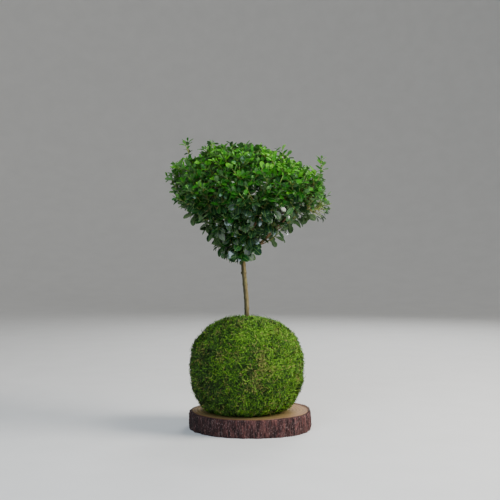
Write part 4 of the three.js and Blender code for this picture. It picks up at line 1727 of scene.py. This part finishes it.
def upper_finish():
    f = Finish("leaf_upper_side")
    fresh_and_lit, luck, waxy = f.painted("leaf_look")
    outward, midrib, side_veins = vein_masks(f)
    clouds = f.noise(1.8, 3)
    colour = leaf_colours(f, fresh_and_lit, luck)
    colour = f.mix(midrib * 0.5, colour, (0.16, 0.30, 0.05))
    colour = f.mix(side_veins * 0.16, colour, (0.13, 0.27, 0.05))
    colour = f.mix(f.rise(outward, 0.82, 1.0) * 0.25, colour, (0.13, 0.24, 0.04))
    colour = f.tinted(colour, 0.78 + clouds * 0.44)
    height = midrib * -0.7 + side_veins * -0.3 + clouds * 0.5
    roughness = 0.48 + clouds * 0.16 + fresh_and_lit * 0.1 - waxy * 0.1
    glints = f.rise(luck, 0.6, 0.85) * 0.4
    coat = f.math("MINIMUM", waxy * f.rise(luck, 0.28, 0.42) + glints, 1)
    return f.surface(colour, roughness, height + 0.7, 0.00016, **{"Coat Weight": coat}, **WAX)


def under_finish():
    f = Finish("leaf_underside")
    fresh_and_lit, luck, _ = f.painted("leaf_look")
    _, midrib, side_veins = vein_masks(f)
    clouds = f.noise(1.5, 3)
    colour = f.mix(0.45, leaf_colours(f, fresh_and_lit, luck), (0.12, 0.24, 0.07))
    colour = f.mix(midrib * 0.6, colour, (0.26, 0.38, 0.12))
    colour = f.tinted(colour, 0.8 + clouds * 0.4)
    return f.surface(colour, 0.55 + clouds * 0.2, midrib + side_veins * 0.4, 0.0002)


def stalk_finish():
    f = Finish("green_stem")
    share = f.painted("leaf_look")[0]
    fibre = f.noise(0.8, 3, 0.6, f.stretched(1, 1, 0.25))
    colour = f.ramp(
        share,
        (0.0, (0.16, 0.11, 0.04)),
        (0.45, (0.17, 0.19, 0.035)),
        (1.0, (0.16, 0.29, 0.03)),
    )
    colour = f.tinted(colour, 0.65 + fibre * 0.7)
    return f.surface(colour, 0.45 + fibre * 0.2, fibre, 0.0001)


leaf_materials = [upper_finish(), under_finish(), stalk_finish()]
print("The leaves have", len(leaf_materials), "finishes: upper side, underside and stem")

# %% [markdown]
# Each spray replaces its own solid. The gap shoots have no solids, so they are grouped by their direction
# from the crown's middle, a slice of the crown to a piece.

# %% Sprays and shoots in place
SHOOT_GROUPS = 10


def direction_of(shoot):
    return math.atan2(*(shoot["sticks"][0]["tip"] - CROWN_CENTRE)[:2])


for number, spray in enumerate(sprays, 1):
    name = f"spray_{number:02d}"
    make_piece("leafy_" + name, spray_shape(spray), leaf_materials, [name])
shoots.sort(key=direction_of)
splits = [group * len(shoots) // SHOOT_GROUPS for group in range(SHOOT_GROUPS + 1)]
for group, (first, after) in enumerate(zip(splits, splits[1:]), 1):
    make_piece(f"gap_shoots_{group}", shoots_shape(shoots[first:after]), leaf_materials)
print("The sprays and", SHOOT_GROUPS, "groups of shoots are in place")

# %% [markdown]
# ## Trunk and branches
#
# The trunk is no thicker than a pencil. It is knotty where leaves once grew, with the stub of a shoot that
# was cut off on its left. The limbs leave it with a collar, and the branchlets are finer the further out
# they are. All of them are tubes, whose surface is lifted by ripples for the bark's ridges.

# %% The trunk's mesh
KNOTS = (131, 143, 157, 169.5, 179, 188)
KNOT_SWELL, KNOT_HEIGHT = 0.28, 1.3
FOOT_FLARE = 0.35
STUB_Z, STUB_SWELL, STUB_HEIGHT, STUB_WIDTH = 169.6, 0.95, 1.1, 0.42
TRUNK_STEP = 1.15
TRUNK_SIDES, LIMB_SIDES, BRANCHLET_SIDES = 22, 12, 6
LIMB_SEED, BRANCHLET_SEED = 100, 200
SHOOT_THICKNESS = 0.78


def trunk_radius(z):
    knots = sum(KNOT_SWELL * math.exp(-(((z - knot) / KNOT_HEIGHT) ** 2)) for knot in KNOTS)
    taper = max(0, LEADER_TAPER * (z - FORK_Z) / (LEADER_TOP_Z - FORK_Z))
    flare = FOOT_FLARE * ease((LEAN_FROM_Z - z) / 10)
    return (TRUNK_RADIUS - 0.08) * (1 - taper) + knots + flare


def bark_swell(amount):
    """The ridges of smooth bark. A tube asks for them by its points and the directions they lie in."""

    def swell(points, spokes):
        ridges = ripple(points * (1, 1, 0.22), 1.7, 61) * 0.07 + ripple(points, 3.8, 62) * 0.1
        return ridges * amount

    return swell


def trunk_swell(points, spokes):
    above_stub = points[:, 2] - STUB_Z
    round_from_stub = np.arccos(np.clip(-spokes[:, 0], -1, 1))
    stub = STUB_SWELL * np.exp(-((above_stub / STUB_HEIGHT) ** 2) - (round_from_stub / STUB_WIDTH) ** 2)
    return bark_swell(1)(points, spokes) + stub


def limb_line(curve, first, last, spacing, wander, seed):
    """A bow with the small changes of direction that a grown branch has, and none at its ends."""
    line = resampled(along_bow(curve, first, last, 40), spacing)
    share = np.linspace(0, 1, len(line))
    bump = np.stack([ripple(line, 21, seed + axis) for axis in range(3)], -1)
    return line + bump * (wander * np.sin(math.pi * share) ** 0.7)[:, None], share


def trunk_shape():
    heights = np.arange(TRUNK_FOOT_Z, LEADER_TOP_Z + 0.1, TRUNK_STEP)
    line, radii = [trunk_point(z) for z in heights], [trunk_radius(z) for z in heights]
    shapes = [tube(line, radii, TRUNK_SIDES, trunk_swell)]
    for k, limb in enumerate(limbs):
        line, share = limb_line(limb, 0, 1, 2, 0.7, LIMB_SEED + k)
        radii = 1.75 - 0.85 * share + 0.7 * np.exp(-share * 22) + 0.16 * (np.sin(share * 34) > 0.9)
        shapes.append(tube(line, radii, LIMB_SIDES, bark_swell(0.8)))
    brown_shoots = [shoot for shoot in shoots if shoot["green_from"] > 0.05]
    for k, spray in enumerate(sprays + brown_shoots):
        thick = 1 if k < len(sprays) else SHOOT_THICKNESS
        line, share = limb_line(spray["way"], 0, spray["green_from"], 3, 0.4 * thick, BRANCHLET_SEED + k)
        radii = 0.86 - 0.24 * share + 0.3 * np.exp(-share * 16) + 0.1 * (np.sin(share * 20 + k) > 0.85)
        shapes.append(tube(line, radii * thick, BRANCHLET_SIDES, bark_swell(0.45)))
    return joined(shapes)


trunk_and_limbs = trunk_shape()
print("The trunk and limbs have", len(trunk_and_limbs["points"]), "points")

# %% [markdown]
# The trunk's bark is smooth and olive to tan, with fine streaks along it and small dark scars. Its left side
# is painted dark, as shade, and it is darker at its foot. Above the fork it turns to the brown of young wood.

# %% The trunk's finish
def trunk_finish():
    f = Finish("trunk_bark")
    x, _, z = f.parts(f.place)
    streaks = f.noise(0.9, 4, 0.65, f.stretched(1, 1, 0.12))
    clouds = f.noise(9, 3)
    fine = f.noise(0.6, 3)
    olive = f.ramp(
        streaks,
        (0.3, (0.050, 0.034, 0.010)),
        (0.5, (0.132, 0.098, 0.034)),
        (0.7, (0.250, 0.196, 0.082)),
    )
    brown = f.ramp(streaks, (0.3, (0.045, 0.018, 0.008)), (0.7, (0.15, 0.066, 0.026)))
    colour = f.mix(f.rise(z, 188, 206) * (0.55 + clouds * 0.45), olive, brown)
    colour = f.mix(f.rise(clouds, 0.5, 0.75) * 0.5, colour, (0.16, 0.17, 0.05))
    scars = f.rise(f.noise(1.7, 2, 0.5, f.stretched(1, 1, 0.6)), 0.62, 0.68)
    colour = f.mix(scars * 0.7, colour, (0.045, 0.028, 0.015))
    from_axis = x - TRUNK_X - f.rise(z, LEAN_FROM_Z, FORK_Z) * LEAN
    # Painted shade: the left side of the trunk, away from the key light, is darkened below the fork.
    left_side_shade = (1 - f.rise(from_axis + clouds, -1.1, 1.3)) * (1 - f.rise(z, 196, 204))
    colour = f.mix(left_side_shade * 0.8, colour, (0.016, 0.018, 0.006))
    # Darker towards the foot, where the trunk leaves the moss.
    colour = f.mix((1 - f.rise(z, 119, 134)) * 0.55, colour, (0.03, 0.026, 0.009))
    colour = f.tinted(colour, 0.75 + fine * 0.5)
    return f.surface(colour, 0.6 + fine * 0.25, streaks * 0.7 + fine * 0.3, 0.00025, **MATTE)


make_piece("trunk_and_limbs", trunk_and_limbs, [trunk_finish()], ["trunk_and_branches"])
print("The trunk is about", round(2 * TRUNK_RADIUS), "mm thick")

# %% [markdown]
# ## Floor and light
#
# The floor is a plain pale sheet that sweeps up into a wall far away all round, so it looks the same from
# every side. It is no part of the object.

# %% The floor
def floor_finish():
    f = Finish("pale_floor")
    speckle = f.noise(60, 2)
    pale = f.ramp(speckle, (0.3, (0.74, 0.73, 0.715)), (0.7, (0.77, 0.76, 0.745)))
    return f.surface(pale, 0.7 + speckle * 0.1)


FLOOR_RADIUS = 1.9
SWEEP_RADIUS = 1.7
WALL_TOP = 2.6
SWEEP_STEPS = 16
FLOOR_SIDES = 96


def floor_rings():
    """(distance from the middle, height) of each ring, from the middle out and up the wall."""
    turns = np.linspace(0, math.pi / 2, SWEEP_STEPS)
    sweep = [(FLOOR_RADIUS + SWEEP_RADIUS * math.sin(t), SWEEP_RADIUS * (1 - math.cos(t))) for t in turns]
    return [(0.01, 0), (FLOOR_RADIUS / 2, 0), *sweep, (FLOOR_RADIUS + SWEEP_RADIUS, WALL_TOP)]


rings = floor_rings()
floor_points = np.concatenate([on_circle(radius, circle(FLOOR_SIDES), z) for radius, z in rings])
floor_mesh = bpy.data.meshes.new("floor")
floor_faces = ring_faces(len(rings), FLOOR_SIDES)[:, ::-1].tolist()
floor_mesh.from_pydata(floor_points.tolist(), [], floor_faces + [list(range(FLOOR_SIDES))])
floor_mesh.shade_smooth()
floor_mesh.materials.append(floor_finish())
floor = bpy.data.objects.new("floor", floor_mesh)
bpy.context.scene.collection.objects.link(floor)
print("The floor is", round(2 * (FLOOR_RADIUS + SWEEP_RADIUS), 1), "m across, wall to wall")

# %% [markdown]
# In the photograph the light is soft and comes from the right, so the key light is a large warm panel there.
# A cool panel in front, half as strong, gives the lower leaves their pale highlights, one behind lights the
# far side, and the pale sky fills the shadows.

# %% The lights
SKY = (0.67, 0.68, 0.67)
SKY_STRENGTH = 0.37
AIM = Vector((0, 0, 0.16))
PANELS = (
    ("key_panel", (1.05, -0.35, 0.85), 0.7, 29, (1.0, 0.965, 0.90)),
    ("cool_panel", (-0.25, -1.15, 0.86), 0.9, 15, (0.68, 0.83, 1.0)),
    ("back_panel", (0.4, 1.2, 0.9), 0.6, 9, (0.95, 0.98, 1.0)),
)

world = bpy.data.worlds.new("sky")
bpy.context.scene.world = world
world.use_nodes = True
background = world.node_tree.nodes["Background"]
background.inputs["Color"].default_value = (*SKY, 1)
background.inputs["Strength"].default_value = SKY_STRENGTH

for name, place, size, power, colour in PANELS:
    light = bpy.data.lights.new(name, "AREA")
    light.energy, light.color, light.size = power, colour, size
    panel = bpy.data.objects.new(name, light)
    panel.location = place
    panel.rotation_euler = (AIM - Vector(place)).to_track_quat("-Z", "Y").to_euler()
    bpy.context.scene.collection.objects.link(panel)
print("The scene has", len(PANELS), "panels of light and a pale sky")

# %% [markdown]
# ## Counting triangles
#
# The triangles of each piece are printed, and the sum of them all. The dressed object has to stay the size
# of its solids.

# %% Sizes
for name, triangles in PIECES:
    print(f"{name}: {triangles} triangles")
print("In all:", sum(triangles for name, triangles in PIECES), "triangles")
